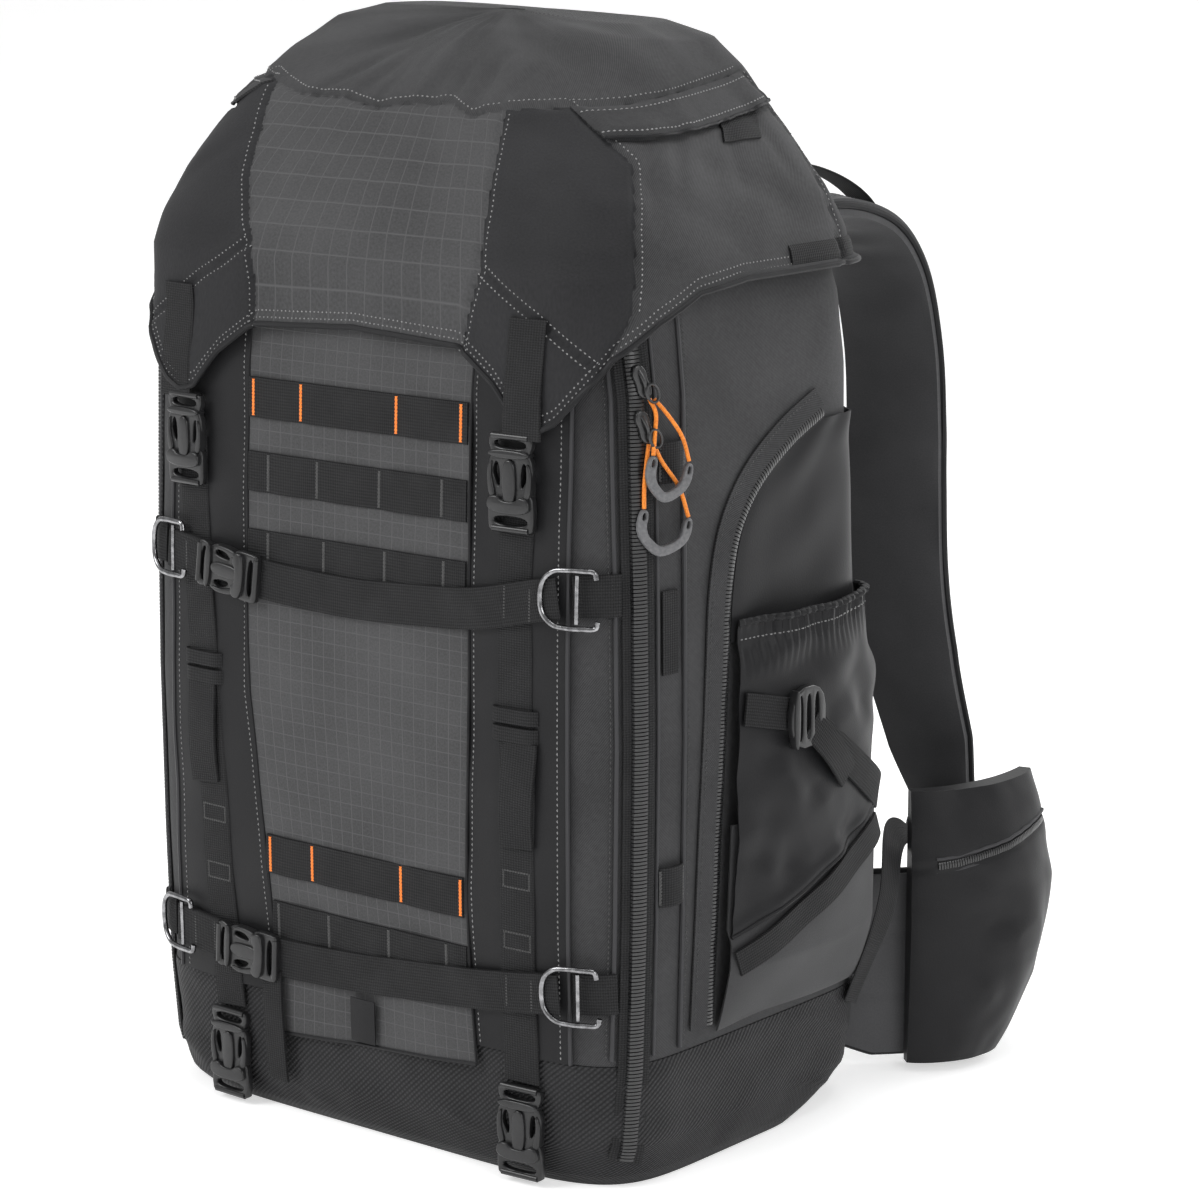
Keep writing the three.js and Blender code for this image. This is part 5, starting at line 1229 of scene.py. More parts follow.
def buckle_lots(wide, long, thick):
    """The pieces of one side-release buckle, drawn flat with its length upright."""
    w, l = wide / 2, long / 2
    half = [[w * 0.84, -l], [w, -l * 0.93], [w, -l * 0.34], [w * 0.86, -l * 0.22], [w * 0.84, l * 0.0],
            [w * 0.97, l * 0.12], [w * 0.97, l * 0.42], [w * 0.8, l * 0.58], [w * 0.98, l * 0.82], [w * 0.88, l]]
    ring = half + [[-x, y] for x, y in reversed(half)]
    slots = [box_ring(-w * 0.74, w * 0.74, -l * 0.86, -l * 0.68), box_ring(-w * 0.7, w * 0.7, l * 0.7, l * 0.87)]
    windows = [[[s * w * 0.46, -l * 0.12], [s * w * 0.66, l * 0.02], [s * w * 0.8, l * 0.24],
                [s * w * 0.62, l * 0.46], [s * w * 0.48, l * 0.3]] for s in (-1, 1)]
    lots = [plate("frame", ring, slots + windows, thick * 0.62, 1.1, 1)]
    tongue = [[-w * 0.26, -l * 0.46], [w * 0.26, -l * 0.46], [w * 0.3, l * 0.2], [w * 0.18, l * 0.48],
              [-w * 0.18, l * 0.48], [-w * 0.3, l * 0.2]]
    cover = [[-w * 0.9, -l * 0.62], [w * 0.9, -l * 0.62], [w * 0.94, -l * 0.3], [w * 0.5, -l * 0.24],
             [w * 0.3, -l * 0.36], [-w * 0.3, -l * 0.36], [-w * 0.5, -l * 0.24], [-w * 0.94, -l * 0.3]]
    bridge = [[-w * 0.86, l * 0.5], [w * 0.86, l * 0.5], [w * 0.9, l * 0.68], [-w * 0.9, l * 0.68]]
    for part, high in ((tongue, 0.86), (cover, 1.0), (bridge, 0.92)):
        lots.append(plate("raised", part, [], thick * high, 1.0))
    for s in (-1, 1):
        prong = [[s * w * 0.62, -l * 0.3], [s * w * 0.9, -l * 0.3], [s * w * 0.98, l * 0.1],
                 [s * w * 0.94, l * 0.36], [s * w * 0.74, l * 0.46], [s * w * 0.8, l * 0.16], [s * w * 0.7, -l * 0.08]]
        lots.append(plate("prong", prong, [], thick * 0.8, 0.9))
    for y in (-0.94, 0.94):
        bar = np.stack([np.linspace(-w * 0.8, w * 0.8, 8), np.full(8, l * y), np.full(8, thick * 0.5)], -1)
        lots.append(tube(bar, thick * 0.26, 10))
    return joined(lots)


for name, side in SIDES:
    for place, z, solid, lift in ((upright(side, LID_BUCKLE_HEIGHT), LID_BUCKLE_HEIGHT, "lid_buckle", 4.6),
                                  (upright(side, STRAP_BASE), BASE_BUCKLE_HEIGHT, "base_buckle", 2.4)):
        points, faces = buckle_lots(BUCKLE_WIDTH, BUCKLE_LENGTH, BUCKLE_THICK)
        made = sewn(f"{solid}_{name}_acetal", fitted(points, place, z, lift), faces, buckle_black)
        on_bag(made, "moulded_plastic", f"{solid}_{name}")
for level, place in CROSS_BUCKLES.items():
    points, faces = buckle_lots(BUCKLE_WIDTH * 0.94, BUCKLE_LENGTH * 0.9, BUCKLE_THICK)
    slope = math.atan2(cross_height(level, place + 15) - cross_height(level, place - 15), 30)
    made = sewn(f"{level}_cross_buckle_acetal", fitted(points, place, float(cross_height(level, place)),
                                                       6.2, math.pi / 2 + slope), faces, buckle_black)
    on_bag(made, "moulded_plastic", f"{level}_cross_buckle")

# Lid straps
# A webbing strap is sewn to each front corner of the lid and runs over its skirt to the buckle below.
for name, side in SIDES:
    z = np.linspace(LID_RIM - 22, LID_BUCKLE_HEIGHT + BUCKLE_LENGTH / 2 - 3, 60)
    head = side * STRAP_SPREAD_TOP - STRAP_DRIFT
    edge = np.array([-0.5, -0.485, -0.4, 0, 0.4, 0.485, 0.5])
    rows = []
    for e in edge:
        under, _ = skin(head + e * WEBBING, z)
        turn = np.arctan2(under[:, 0], -under[:, 1])
        seat = lid_at(turn, z, 2.6 + (0.0 if abs(e) < 0.49 else -0.7))
        seat[:, 2] = z
        rows.append(seat)
    points = np.stack(rows, 1)
    out = grid_out(points, points * [1, 1, 0])
    points = points + out * (0.8 * np.clip((500 - z) / 40, 0, 1))[:, None, None]
    strap = cloth(f"lid_strap_{name}_webbing", points, out, 1.3, webbing_black)
    on_bag(strap, "webbing", f"lid_strap_{name}")

# Main zips
# A heavy black coil zip runs up each front corner, on herringbone tape 20 mm wide, between two piped seams.
# The coil is a row of arched nylon teeth about 10 mm wide.
coil_black, nodes, links, shader = nodes_of("glossy_black_coil")
set_shader(shader, 0.3, specular=0.55, coat=0.2)
coil_place = nodes.new("ShaderNodeTexCoord").outputs["Object"]
coil_field = noise(nodes, links, coil_place, 900)
tint(nodes, links, shader, coil_field, (0.006, 0.006, 0.0065), (0.018, 0.018, 0.019))
relief(nodes, links, shader, coil_field, 0.05)


def teeth(line, out, pitch, half, high):
    """Arched coil teeth across a line on the body."""
    run = np.concatenate([[0], np.cumsum(np.linalg.norm(np.diff(line, axis=0), axis=1))])
    s = np.arange(pitch, run[-1] - pitch, pitch)
    at = np.stack([np.interp(s, run, line[:, k]) for k in range(3)], -1)
    up = unit(np.stack([np.interp(s, run, out[:, k]) for k in range(3)], -1))
    ahead = unit(np.gradient(at, axis=0))
    across = np.cross(ahead, up)
    rings = []
    for w, h in ((-1, 0), (-0.86, 0.75), (-0.3, 1), (0.3, 1), (0.86, 0.75), (1, 0)):
        for e in (-0.36, 0.36):
            rings.append(at + across * half * w + up * high * h + ahead * pitch * e)
    points = np.stack(rings, 1).reshape(-1, 3)
    shape = [[2 * i, 2 * i + 1, 2 * i + 3, 2 * i + 2] for i in range(5)] + [[10, 11, 1, 0]]
    faces = []
    for first in 12 * np.arange(len(s)):
        faces += [[int(first) + i for i in face] for face in shape]
        faces += [[int(first) + i for i in (0, 2, 4, 6, 8, 10)], [int(first) + i for i in (11, 9, 7, 5, 3, 1)]]
    return points, faces


def zip_pieces(name, place, z, tape, half, solid):
    """Tape and teeth of a zip along places and heights on the body."""
    ds, dz = np.gradient(place), np.gradient(z)
    length = np.hypot(ds, dz)
    across = np.linspace(-tape, tape, 9)
    around = place[:, None] + across * (dz / length)[:, None]
    height = z[:, None] - across * (ds / length)[:, None]
    ridge = 0.35 * np.exp(-((np.abs(across) - tape * 0.82) / (tape * 0.1)) ** 2)
    points, out = skin(around, height, 1.9 + np.broadcast_to(ridge, around.shape))
    on_bag(cloth(f"{name}_tape", points, out, 1.0, webbing_black), "zip_coil", solid)
    line, line_out = skin(place, z, 1.9)
    made = sewn(f"{name}_teeth", *teeth(line, line_out, 2.3, half, 2.9), coil_black, sharp=30, mend=False)
    on_bag(made, "zip_coil")


for name, side in SIDES:
    z = np.linspace(18, 536, 200)
    place = side * (flank_at(z) - ZIP_PLACE)
    zip_pieces(f"main_zip_{name}", place, z, 10, 5.2, f"main_zip_{name}")
    z = np.linspace(BOOT_HEIGHT + 4, 534, 160)
    for label, gap, radius in (("front", -13.5, 1.4), ("inner", 13.5, 1.1), ("rear", 36, 1.5)):
        line, _ = skin(side * (flank_at(z) - ZIP_PLACE + gap), z, 0.9)
        round_trim(f"zip_{label}_piping_{name}", line, radius, 7, grey_piping, "smooth_cloth")
    lots = []
    for gap in (-17, 40):
        line, out = skin(side * (flank_at(z) - ZIP_PLACE + gap), z, 0.8)
        lots.append(stitches(line, out))
    thread_work(f"zip_seam_stitching_{name}", lots, black_thread, "smooth_cloth")
    for z_low, z_high in ((316, 366),):
        z_grid, t_grid = np.meshgrid(np.linspace(z_low, z_high, 20), np.linspace(0, 1, 9), indexing="ij")
        points, out = skin(side * (flank_at(z_grid) - ZIP_PLACE + mix(17, 30, t_grid)), z_grid, 1.4)
        on_bag(cloth(f"zip_hook_strip_{name}", points, out, 1.0, webbing_black), "webbing")

# Zip sliders
# Glossy black sliders ride on the right coil, each with a polished ring that the orange cords pass through.
MAIN_ZIP_TOP = BODY_HEIGHT - 14
for label, below in (("upper", 47), ("lower", 73)):
    z_slider = MAIN_ZIP_TOP - below
    w, l = 4.5, 10
    outline = [[-w * 0.6, -l], [w * 0.6, -l], [w, -l * 0.6], [w * 0.8, 0], [w, l * 0.5], [w * 0.5, l],
               [-w * 0.5, l], [-w, l * 0.5], [-w * 0.8, 0], [-w, -l * 0.6]]
    lots = [plate("body", outline, [], 3.6, 0.9)]
    arch = np.array([[0, y, 3.4 + 3.2 * math.cos(y / 6.5 * math.pi / 2)] for y in np.linspace(-6.5, 6.5, 14)])
    lots.append(tube(arch, 1.0, 8))
    loop = np.array([[2.6 + 3.6 * math.cos(a), -8 + 5.5 * math.sin(a), 6.6] for a in np.linspace(0, 2 * np.pi, 25)])
    lots.append(tube(loop[:-1], 0.9, 8, closed=True))
    points, faces = joined(lots)
    slider_place = float(flank_at(z_slider)) - ZIP_PLACE + 3.0
    made = sewn(f"zip_slider_{label}_body", fitted(points, slider_place, z_slider, 4.4,
                                                   math.radians(20)), faces, coil_black)
    on_bag(made, "moulded_plastic", f"zip_slider_{label}")

# Side zips
# On each side a finer coil zip bends from behind the pocket's front edge up and back across the flank,
# under a narrow covering edge of twill.
SIDE_LINE = curve_through([[b * BACK_DEPTH, u * BODY_HEIGHT, 0] for b, u in (
    (-0.43, 0.165), (-0.4, 0.36), (-0.355, 0.56), (-0.325, 0.655), (-0.26, 0.71), (-0.12, 0.755), (0.12, 0.795),
    (0.4, 0.825))], np.linspace(0, 1, 170))
for name, side in SIDES:
    z = SIDE_LINE[:, 1]
    place = side * (flank_at(z) + SIDE_LINE[:, 0])
    zip_pieces(f"side_zip_{name}", place, z, 7, 3.8, f"side_zip_{name}")
    ds, dz = np.gradient(SIDE_LINE[:, 0]), np.gradient(z)
    length = np.hypot(ds, dz)
    t = np.linspace(0, 1, 9)
    around = SIDE_LINE[:, 0][:, None] + mix(-15, -3.6, t) * (dz / length)[:, None]
    height = z[:, None] - mix(-15, -3.6, t) * (ds / length)[:, None]
    points, out = skin(side * (flank_at(height) + around), height, 1.6 + 3.4 * t ** 1.4 * np.ones_like(around))
    on_bag(cloth(f"side_zip_cover_{name}", points, grid_out(points, out), 1.2, dark_twill), "twill_cloth")
    lots = [stitches(points[:, 2] + 0.2 * out[:, 2], out[:, 2])]
    thread_work(f"side_zip_stitching_{name}", lots, black_thread, "twill_cloth")

# Side pockets
# Smooth black cloth lies behind each side zip. A stretch pocket of the same nylon covers the lower flank,
# gathered by an elastic bound rim. Its lower part is grey nylon that shows as a loose rippled panel below
# the black one's slanting hem.
POCKET_BOTTOM, POCKET_TOP = 86, 338


def pocket_place(side, across, z):
    front = np.interp(z, SIDE_LINE[:, 1], SIDE_LINE[:, 0]) + 9.1
    return side * (flank_at(z) + mix(front, 108, across))


def pocket_lift(across, z):
    up = (np.asarray(z, float) - POCKET_BOTTOM) / (POCKET_TOP - POCKET_BOTTOM)
    rise = np.minimum(1, np.maximum(up, 0) / 0.16) ** 0.7
    rise = rise * mix(1, 0.5, np.clip((up - 0.45) / 0.55, 0, 1) ** 1.5)
    return 3.1 + 20 * hump(mix(0.06, 0.94, across)) ** 0.6 * rise


pocket_black = smooth_black("pocket_black_nylon", (0.009, 0.009, 0.01), (0.016, 0.016, 0.017), 0.02, 0.45)
for name, side in SIDES:
    z_grid, t_grid = np.meshgrid(np.linspace(326, 450, 36), np.linspace(0, 1, 30), indexing="ij")
    front = np.interp(z_grid, SIDE_LINE[:, 1], SIDE_LINE[:, 0]) + 7
    fold = 2.2 * fold_noise(t_grid * 120, z_grid * 0.6, 30, 75)
    fold = fold + 0.8 * np.sin((z_grid - 60 * t_grid) / 9) * hump(t_grid)
    place_grid = side * (flank_at(z_grid) + mix(front, 106, t_grid))
    points, out = skin(place_grid, z_grid, 2.4 + fold * hump(t_grid) ** 0.5)
    on_bag(cloth(f"side_zip_panel_{name}", points, grid_out(points, out), 1.4, pocket_black), "smooth_cloth")
pocket_grey = smooth_black("pocket_grey_nylon", (0.026, 0.026, 0.027), (0.05, 0.05, 0.052), 0.08, 0.56)
for name, side in SIDES:
    up, t = np.meshgrid(np.linspace(0, 1, 76), np.linspace(0, 1, 62), indexing="ij")
    z = mix(POCKET_BOTTOM, 215, up)
    across = t * 0.995
    ripple = 2.4 * fold_noise(t * 130, z * 0.55, 36, 71) + 2.0 * np.sin((z - 0.4 * t * 160) / 16) * hump(t)
    covered = np.clip((z - mix(146, 208, t) + 4) / 8, 0, 1)
    ripple = mix(np.clip(ripple, -2.5, 4), -2.6, covered)
    points, out = skin(pocket_place(side, across, z), z, pocket_lift(across, z) + ripple - 0.4)
    on_bag(cloth(f"side_pocket_{name}_lower", points, grid_out(points, out), 1.4, pocket_grey), "smooth_cloth")
    up, t = np.meshgrid(np.linspace(0, 1, 110), np.linspace(0, 1, 90), indexing="ij")
    hem = mix(146, 208, t)
    z = mix(hem, POCKET_TOP, up)
    across = 0.995 * t
    gather = np.clip((up - 0.8) / 0.2, 0, 1)
    near_strap = np.exp(-((z - mix(287, 205, t)) / 15) ** 2)
    wave = 3.2 * fold_noise(t * 140, z * 0.8, 38, 72) + 2.2 * fold_noise(t * 140 + z * 0.5, z - t * 60, 19, 73)
    wave *= 1 - near_strap
    wave += gather * 1.1 * np.sin(t * 150) + 1.6 * np.exp(-((up - 0.02) / 0.03) ** 2)
    wave -= 1.6 * near_strap
    points, out = skin(pocket_place(side, across, z), z, pocket_lift(across, z) + 1.8 + np.clip(wave, -3.2, 5))
    on_bag(cloth(f"side_pocket_{name}_cloth", points, grid_out(points, out), 1.4, pocket_black), "smooth_cloth",
           f"side_pocket_{name}")
    for label, row, radius in (("rim", -1, 2.2), ("hem", 0, 1.2)):
        round_trim(f"side_pocket_{name}_{label}", points[row] + out[row] * 0.2, radius, 8, binding_black,
                   "smooth_cloth")
    lots = [stitches(points[-7] + out[-7] * 0.2, out[-7])]
    thread_work(f"side_pocket_{name}_stitching", lots, pale_thread, "smooth_cloth")

# Side straps
# A 20 mm strap crosses each pocket, runs through a ladder lock and slants down to the back corner, with a
# loose tail.
for name, side in SIDES:
    t = np.linspace(0.01, 0.97, 90)
    slope = np.where(t < 0.33, 0.14 * t / 0.33, 0.14 + 0.86 * (t - 0.33) / 0.63)
    slope = np.convolve(np.pad(slope, 4, mode="edge"), np.ones(9) / 9, mode="valid")
    z = mix(287, 205, slope)
    strap, _, _ = webbing(f"side_strap_{name}_webbing", pocket_place(side, t, z), z, pocket_lift(t, z) + 2.6, 20)
    on_bag(strap, "webbing", f"side_strap_{name}")
    t = np.linspace(0.36, 0.62, 30)
    z = 270 - (t - 0.36) * 150
    tail, _, _ = webbing(f"side_strap_{name}_tail", pocket_place(side, t, z), z,
                         pocket_lift(t, z) + 4.6 + 2.2 * np.sin((t - 0.36) * 14), 19)
    on_bag(tail, "webbing")
    w, l = 19, 17
    ring = [[-w, -l], [w, -l], [w, l], [-w, l]]
    bars = [box_ring(-w * 0.74, w * 0.74, y - 2.6, y + 2.6) for y in (-8.4, 0, 8.4)]
    lots = [plate("lock", ring, bars, 4.6, 1.0),
            plate("lip", box_ring(-w * 0.95, w * 0.95, 10.6, 15.5), [], 6.2, 1.0)]
    points, faces = joined(lots)
    z_lock = 275.5
    at = float(pocket_place(side, 0.33, z_lock))
    lift = float(pocket_lift(0.33, z_lock)) + 3.4
    made = sewn(f"side_ladder_lock_{name}_acetal", fitted(points, at, z_lock, lift, math.pi / 2 * side), faces,
                buckle_black)
    on_bag(made, "moulded_plastic", f"side_ladder_lock_{name}")
    t = np.linspace(0.02, 0.9, 60)
    z = mix(128, 196, t)
    low, _, _ = webbing(f"side_lower_strap_{name}", pocket_place(side, t, z), z,
                        pocket_lift(t, z) + 2.2 + 1.6 * np.sin(t * 9) ** 2, 18)
    on_bag(low, "webbing")

# Shoulder straps
# Padded straps 72 mm wide: smooth grey cloth over foam on both faces, with bound edges. They curve from the
# upper back over the shoulder and down to a narrowed tip with a ladder lock.
SHOULDER_ROOT = 528
SHOULDER_DROP = 383
SHOULDER_REACH = 184
SHOULDER_SPREAD = 64
SHOULDER_WIDTH = 72
SHOULDER_THICK = 17
SHOULDER_SEAT = 4.2
SHOULDER_TWIST = 4
# Each row is how far down, how far behind and how wide apart the strap lies, and its width, all as shares.
SHOULDER = np.array([[0, 0, 1.1, 0.8], [-0.06, 0.2, 1.12, 0.95], [-0.09, 0.44, 1.16, 1], [-0.05, 0.77, 1.22, 1],
                     [0.03, 0.92, 1.28, 1], [0.17, 0.995, 1.34, 1], [0.315, 0.995, 1.4, 1],
                     [0.42, 0.965, 1.47, 1], [0.587, 0.925, 1.6, 1], [0.723, 0.93, 1.75, 0.97],
                     [0.88, 0.98, 1.94, 0.86], [0.98, 1.0, 2.09, 0.6]])


def back_at(z):
    """How far back the body's skin lies in the middle of the back."""
    return float(skin(half_girth(z), z, 0)[0][1])


def shoulder_frame(side, t):
    back = back_at(SHOULDER_ROOT) + SHOULDER_SEAT
    spots = [[side * SHOULDER_SPREAD * s, back + SHOULDER_REACH * b, SHOULDER_ROOT - SHOULDER_DROP * d]
             for d, b, s, _ in SHOULDER]
    fine = np.linspace(0, 1, 801)
    line = curve_through(spots, fine)
    ahead = unit(np.gradient(line, axis=0))
    centre, tangent = (np.stack([np.interp(t, fine, g[:, k]) for k in range(3)], -1) for g in (line, ahead))
    turn = side * math.radians(SHOULDER_TWIST) * np.clip(np.asarray(t) * 1.6, 0, 1)
    across = np.stack([np.cos(turn), np.sin(turn), np.zeros_like(turn)], -1)
    across = unit(across - tangent * (across * tangent).sum(-1, keepdims=True))
    face = unit(np.cross(across, tangent))
    face = face * np.where(face[:, 1] + face[:, 2] < 0, -1, 1)[:, None]
    return centre, across, face


strap_grey = smooth_black("strap_grey_face", (0.045, 0.045, 0.047), (0.082, 0.082, 0.085), 0.06, 0.55)
spacer_mesh, nodes, links, shader = nodes_of("black_spacer_mesh")
set_shader(shader, 0.85, sheen=0.1, specular=0.3)
cell = nodes.new("ShaderNodeTexVoronoi")
cell.inputs["Scale"].default_value = 1.0
cell.inputs["Randomness"].default_value = 0.25
links.new(cloth_place(nodes, links, 3.4), cell.inputs["Vector"])
tint(nodes, links, shader, cell.outputs["Distance"], (0.004, 0.004, 0.004), (0.036, 0.036, 0.037), 0.15, 0.5)
relief(nodes, links, shader, cell.outputs["Distance"], 0.9, 0.9)
for name, side in SIDES:
    t = np.linspace(0, 1, 120)
    centre, across, face = shoulder_frame(side, t)
    u = np.linspace(0, 1, 35)
    wide = SHOULDER_WIDTH * np.interp(t, np.linspace(0, 1, len(SHOULDER)), SHOULDER[:, 3])
    spread = mix(-0.5, 0.5, u)[None, :, None] * wide[:, None, None]
    s = np.concatenate([[0], np.cumsum(np.linalg.norm(np.diff(centre, axis=0), axis=1))])
    rise = SHOULDER_THICK * (0.3 + 0.7 * hump(mix(0.08, 0.92, u)) ** 0.5)
    s_grid, w_grid = np.meshgrid(s, u * SHOULDER_WIDTH, indexing="ij")
    bend = np.exp(-((t - 0.27) / 0.12) ** 2)[:, None]
    fold = bend * 2.4 * fold_noise(w_grid * 0.35, s_grid, 13, 81) + 1.5 * fold_noise(w_grid * 0.3, s_grid, 24, 82)
    fold = (fold - 0.5 * np.exp(-(((s_grid + 9) % 46 - 23) / 2.4) ** 2)) * hump(u) ** 0.4
    thick = rise[None, :, None] * np.ones((120, 1, 1))
    outer = centre[:, None] + across[:, None] * spread + face[:, None] * (thick / 2 + fold[..., None])
    faces_out = np.broadcast_to(face[:, None], outer.shape)
    pad = cloth(f"shoulder_strap_{name}_pad", outer, faces_out, thick * 0.62 + fold[..., None], strap_grey, sharp=50)
    on_bag(pad, "harness_cloth", f"shoulder_strap_{name}")
    under = centre[:, None] + across[:, None] * spread - face[:, None] * (thick / 2 + fold[..., None])
    lining = cloth(f"shoulder_strap_{name}_lining", under, -faces_out, thick * 0.36 + fold[..., None], strap_grey,
                   sharp=50)
    on_bag(lining, "harness_cloth")
    for label, column in (("inner", 0), ("outer", -1)):
        edge = centre + across * (spread[:, column]) + face * (rise[column] * 0.1)
        round_trim(f"shoulder_binding_{label}_{name}", edge, 2.5, 8, binding_black, "harness_cloth")
    lots = []
    for column in (4, -5):
        line = outer[:, column]
        lots.append(stitches(line + face * 0.1, face, 4.0, 0.6))
    thread_work(f"shoulder_stitching_{name}", lots, black_thread, "harness_cloth")


def ribbon(name, spots, width, thick, facing, material, count=70):
    """A flat strap through places in space, its face turned by the facing directions."""
    line = curve_through(spots, np.linspace(0, 1, count))
    ahead = unit(np.gradient(line, axis=0))
    normal = facing - ahead * (facing * ahead).sum(-1, keepdims=True)
    normal = unit(normal)
    across = np.cross(ahead, normal)
    w = np.array([-0.5, -0.48, -0.4, -0.2, 0, 0.2, 0.4, 0.48, 0.5]) * width
    h = np.array([0.15, 0.4, 0.5, 0.5, 0.5, 0.5, 0.5, 0.4, 0.15]) * thick
    points = line[:, None] + across[:, None] * w[None, :, None] + normal[:, None] * h[None, :, None]
    out = np.broadcast_to(normal[:, None], points.shape)
    return cloth(name, points, out, (h * 2)[None, :, None] * np.ones((count, 1, 1)), material, sharp=50)


# Load lifters, lower shoulder straps and haul handle
# Webbing of 20 mm joins the lid's back to each shoulder strap and each tip to the bag's lower corner. The
# handle is a padded webbing loop at the top of the back.
for name, side in SIDES:
    turns = np.linspace(np.pi / 2, np.pi, 200)
    ring = lid_at(turns, np.full(200, 592.0))
    order = np.argsort(ring[:, 0])
    root = np.array([side * 80, np.interp(80, ring[order, 0], ring[order, 1]) + 2.5, 592])
    centre, across, face = shoulder_frame(side, np.array([0.2, 0.28, 0.36]))
    above = centre + face * (8.5 + np.array([16, 9, 1.8]))[:, None]
    facing = np.broadcast_to([0, 0.4, 1.0], (70, 3))
    on_bag(ribbon(f"load_lifter_{name}_webbing", [root, *above], 20, 1.5, facing, webbing_black), "webbing",
           f"load_lifter_{name}")
    tip = shoulder_frame(side, np.array([0.999]))[0][0]
    z_end = 68
    end, end_out = skin(side * (float(flank_at(z_end)) + 96), z_end, 3.4)
    spots = [tip + [0, 2, -5], tip + [0, -22, -9], [mix(tip[0], end[0], 0.4), mix(tip[1], end[1], 0.35), 146],
             [mix(tip[0], end[0], 0.62), mix(tip[1], end[1], 0.58), 157],
             [end[0] + side * 8, mix(tip[1], end[1], 0.87), mix(end[2], 148, 0.7)], end]
    share = np.linspace(0, 1, 70)[:, None]
    facing = mix(np.array([0, -0.3, 1.0]), end_out, share)
    on_bag(ribbon(f"shoulder_lower_strap_{name}_webbing", spots, 20, 1.5, facing, webbing_black), "webbing",
           f"shoulder_lower_strap_{name}")
    _, across, face = shoulder_frame(side, np.array([0.97]))
    ring = [[-14, -11], [14, -11], [12, 11], [-12, 11]]
    lock, faces = joined([plate("lock", ring, [box_ring(-9.5, 9.5, -7.5, -3.5), box_ring(-9.5, 9.5, -0.5, 3.5)], 5,
                                1.0)])
    lock = in_plane(lock, tip + face[0] * 6 + [0, 0, 3], across[0], np.cross(face[0], across[0]), face[0])
    on_bag(sewn(f"shoulder_ladder_lock_{name}", lock, faces, buckle_black), "moulded_plastic")
HANDLE_HEIGHT = 529
HANDLE_HALF = 25
HANDLE_RISE = 34
HANDLE_WIDTH = 22
HANDLE_THICK = 5
back = back_at(HANDLE_HEIGHT) + 0.6 + HANDLE_THICK / 6
spots = [[x * HANDLE_HALF, back + HANDLE_RISE * y, HANDLE_HEIGHT] for x, y in (
    (-1, 0), (-0.86, 0.4), (-0.45, 0.85), (0, 1), (0.45, 0.85), (0.86, 0.4), (1, 0))]
facing = np.stack([np.linspace(-1, 1, 70), np.full(70, 0.6), np.zeros(70)], -1)
on_bag(ribbon("haul_handle_webbing", spots, HANDLE_WIDTH, HANDLE_THICK, facing, webbing_black), "webbing",
       "haul_handle")

# Hip belt
# A padded wing on each side of the lumbar pad, in grey cloth quilted along two lines, with a zipped pocket
# of black nylon on its outer face.
WING_BOTTOM = 10
WING_HEIGHT = 122
WING_ROOT = 121.2
WING_REACH = 80
WING_DEPTH = 158
WING_SEAT = 8
WING_THICK = 13
HIP_POCKET_LOW = 6
HIP_POCKET_HIGH = 190
HIP_POCKET_THICK = 27
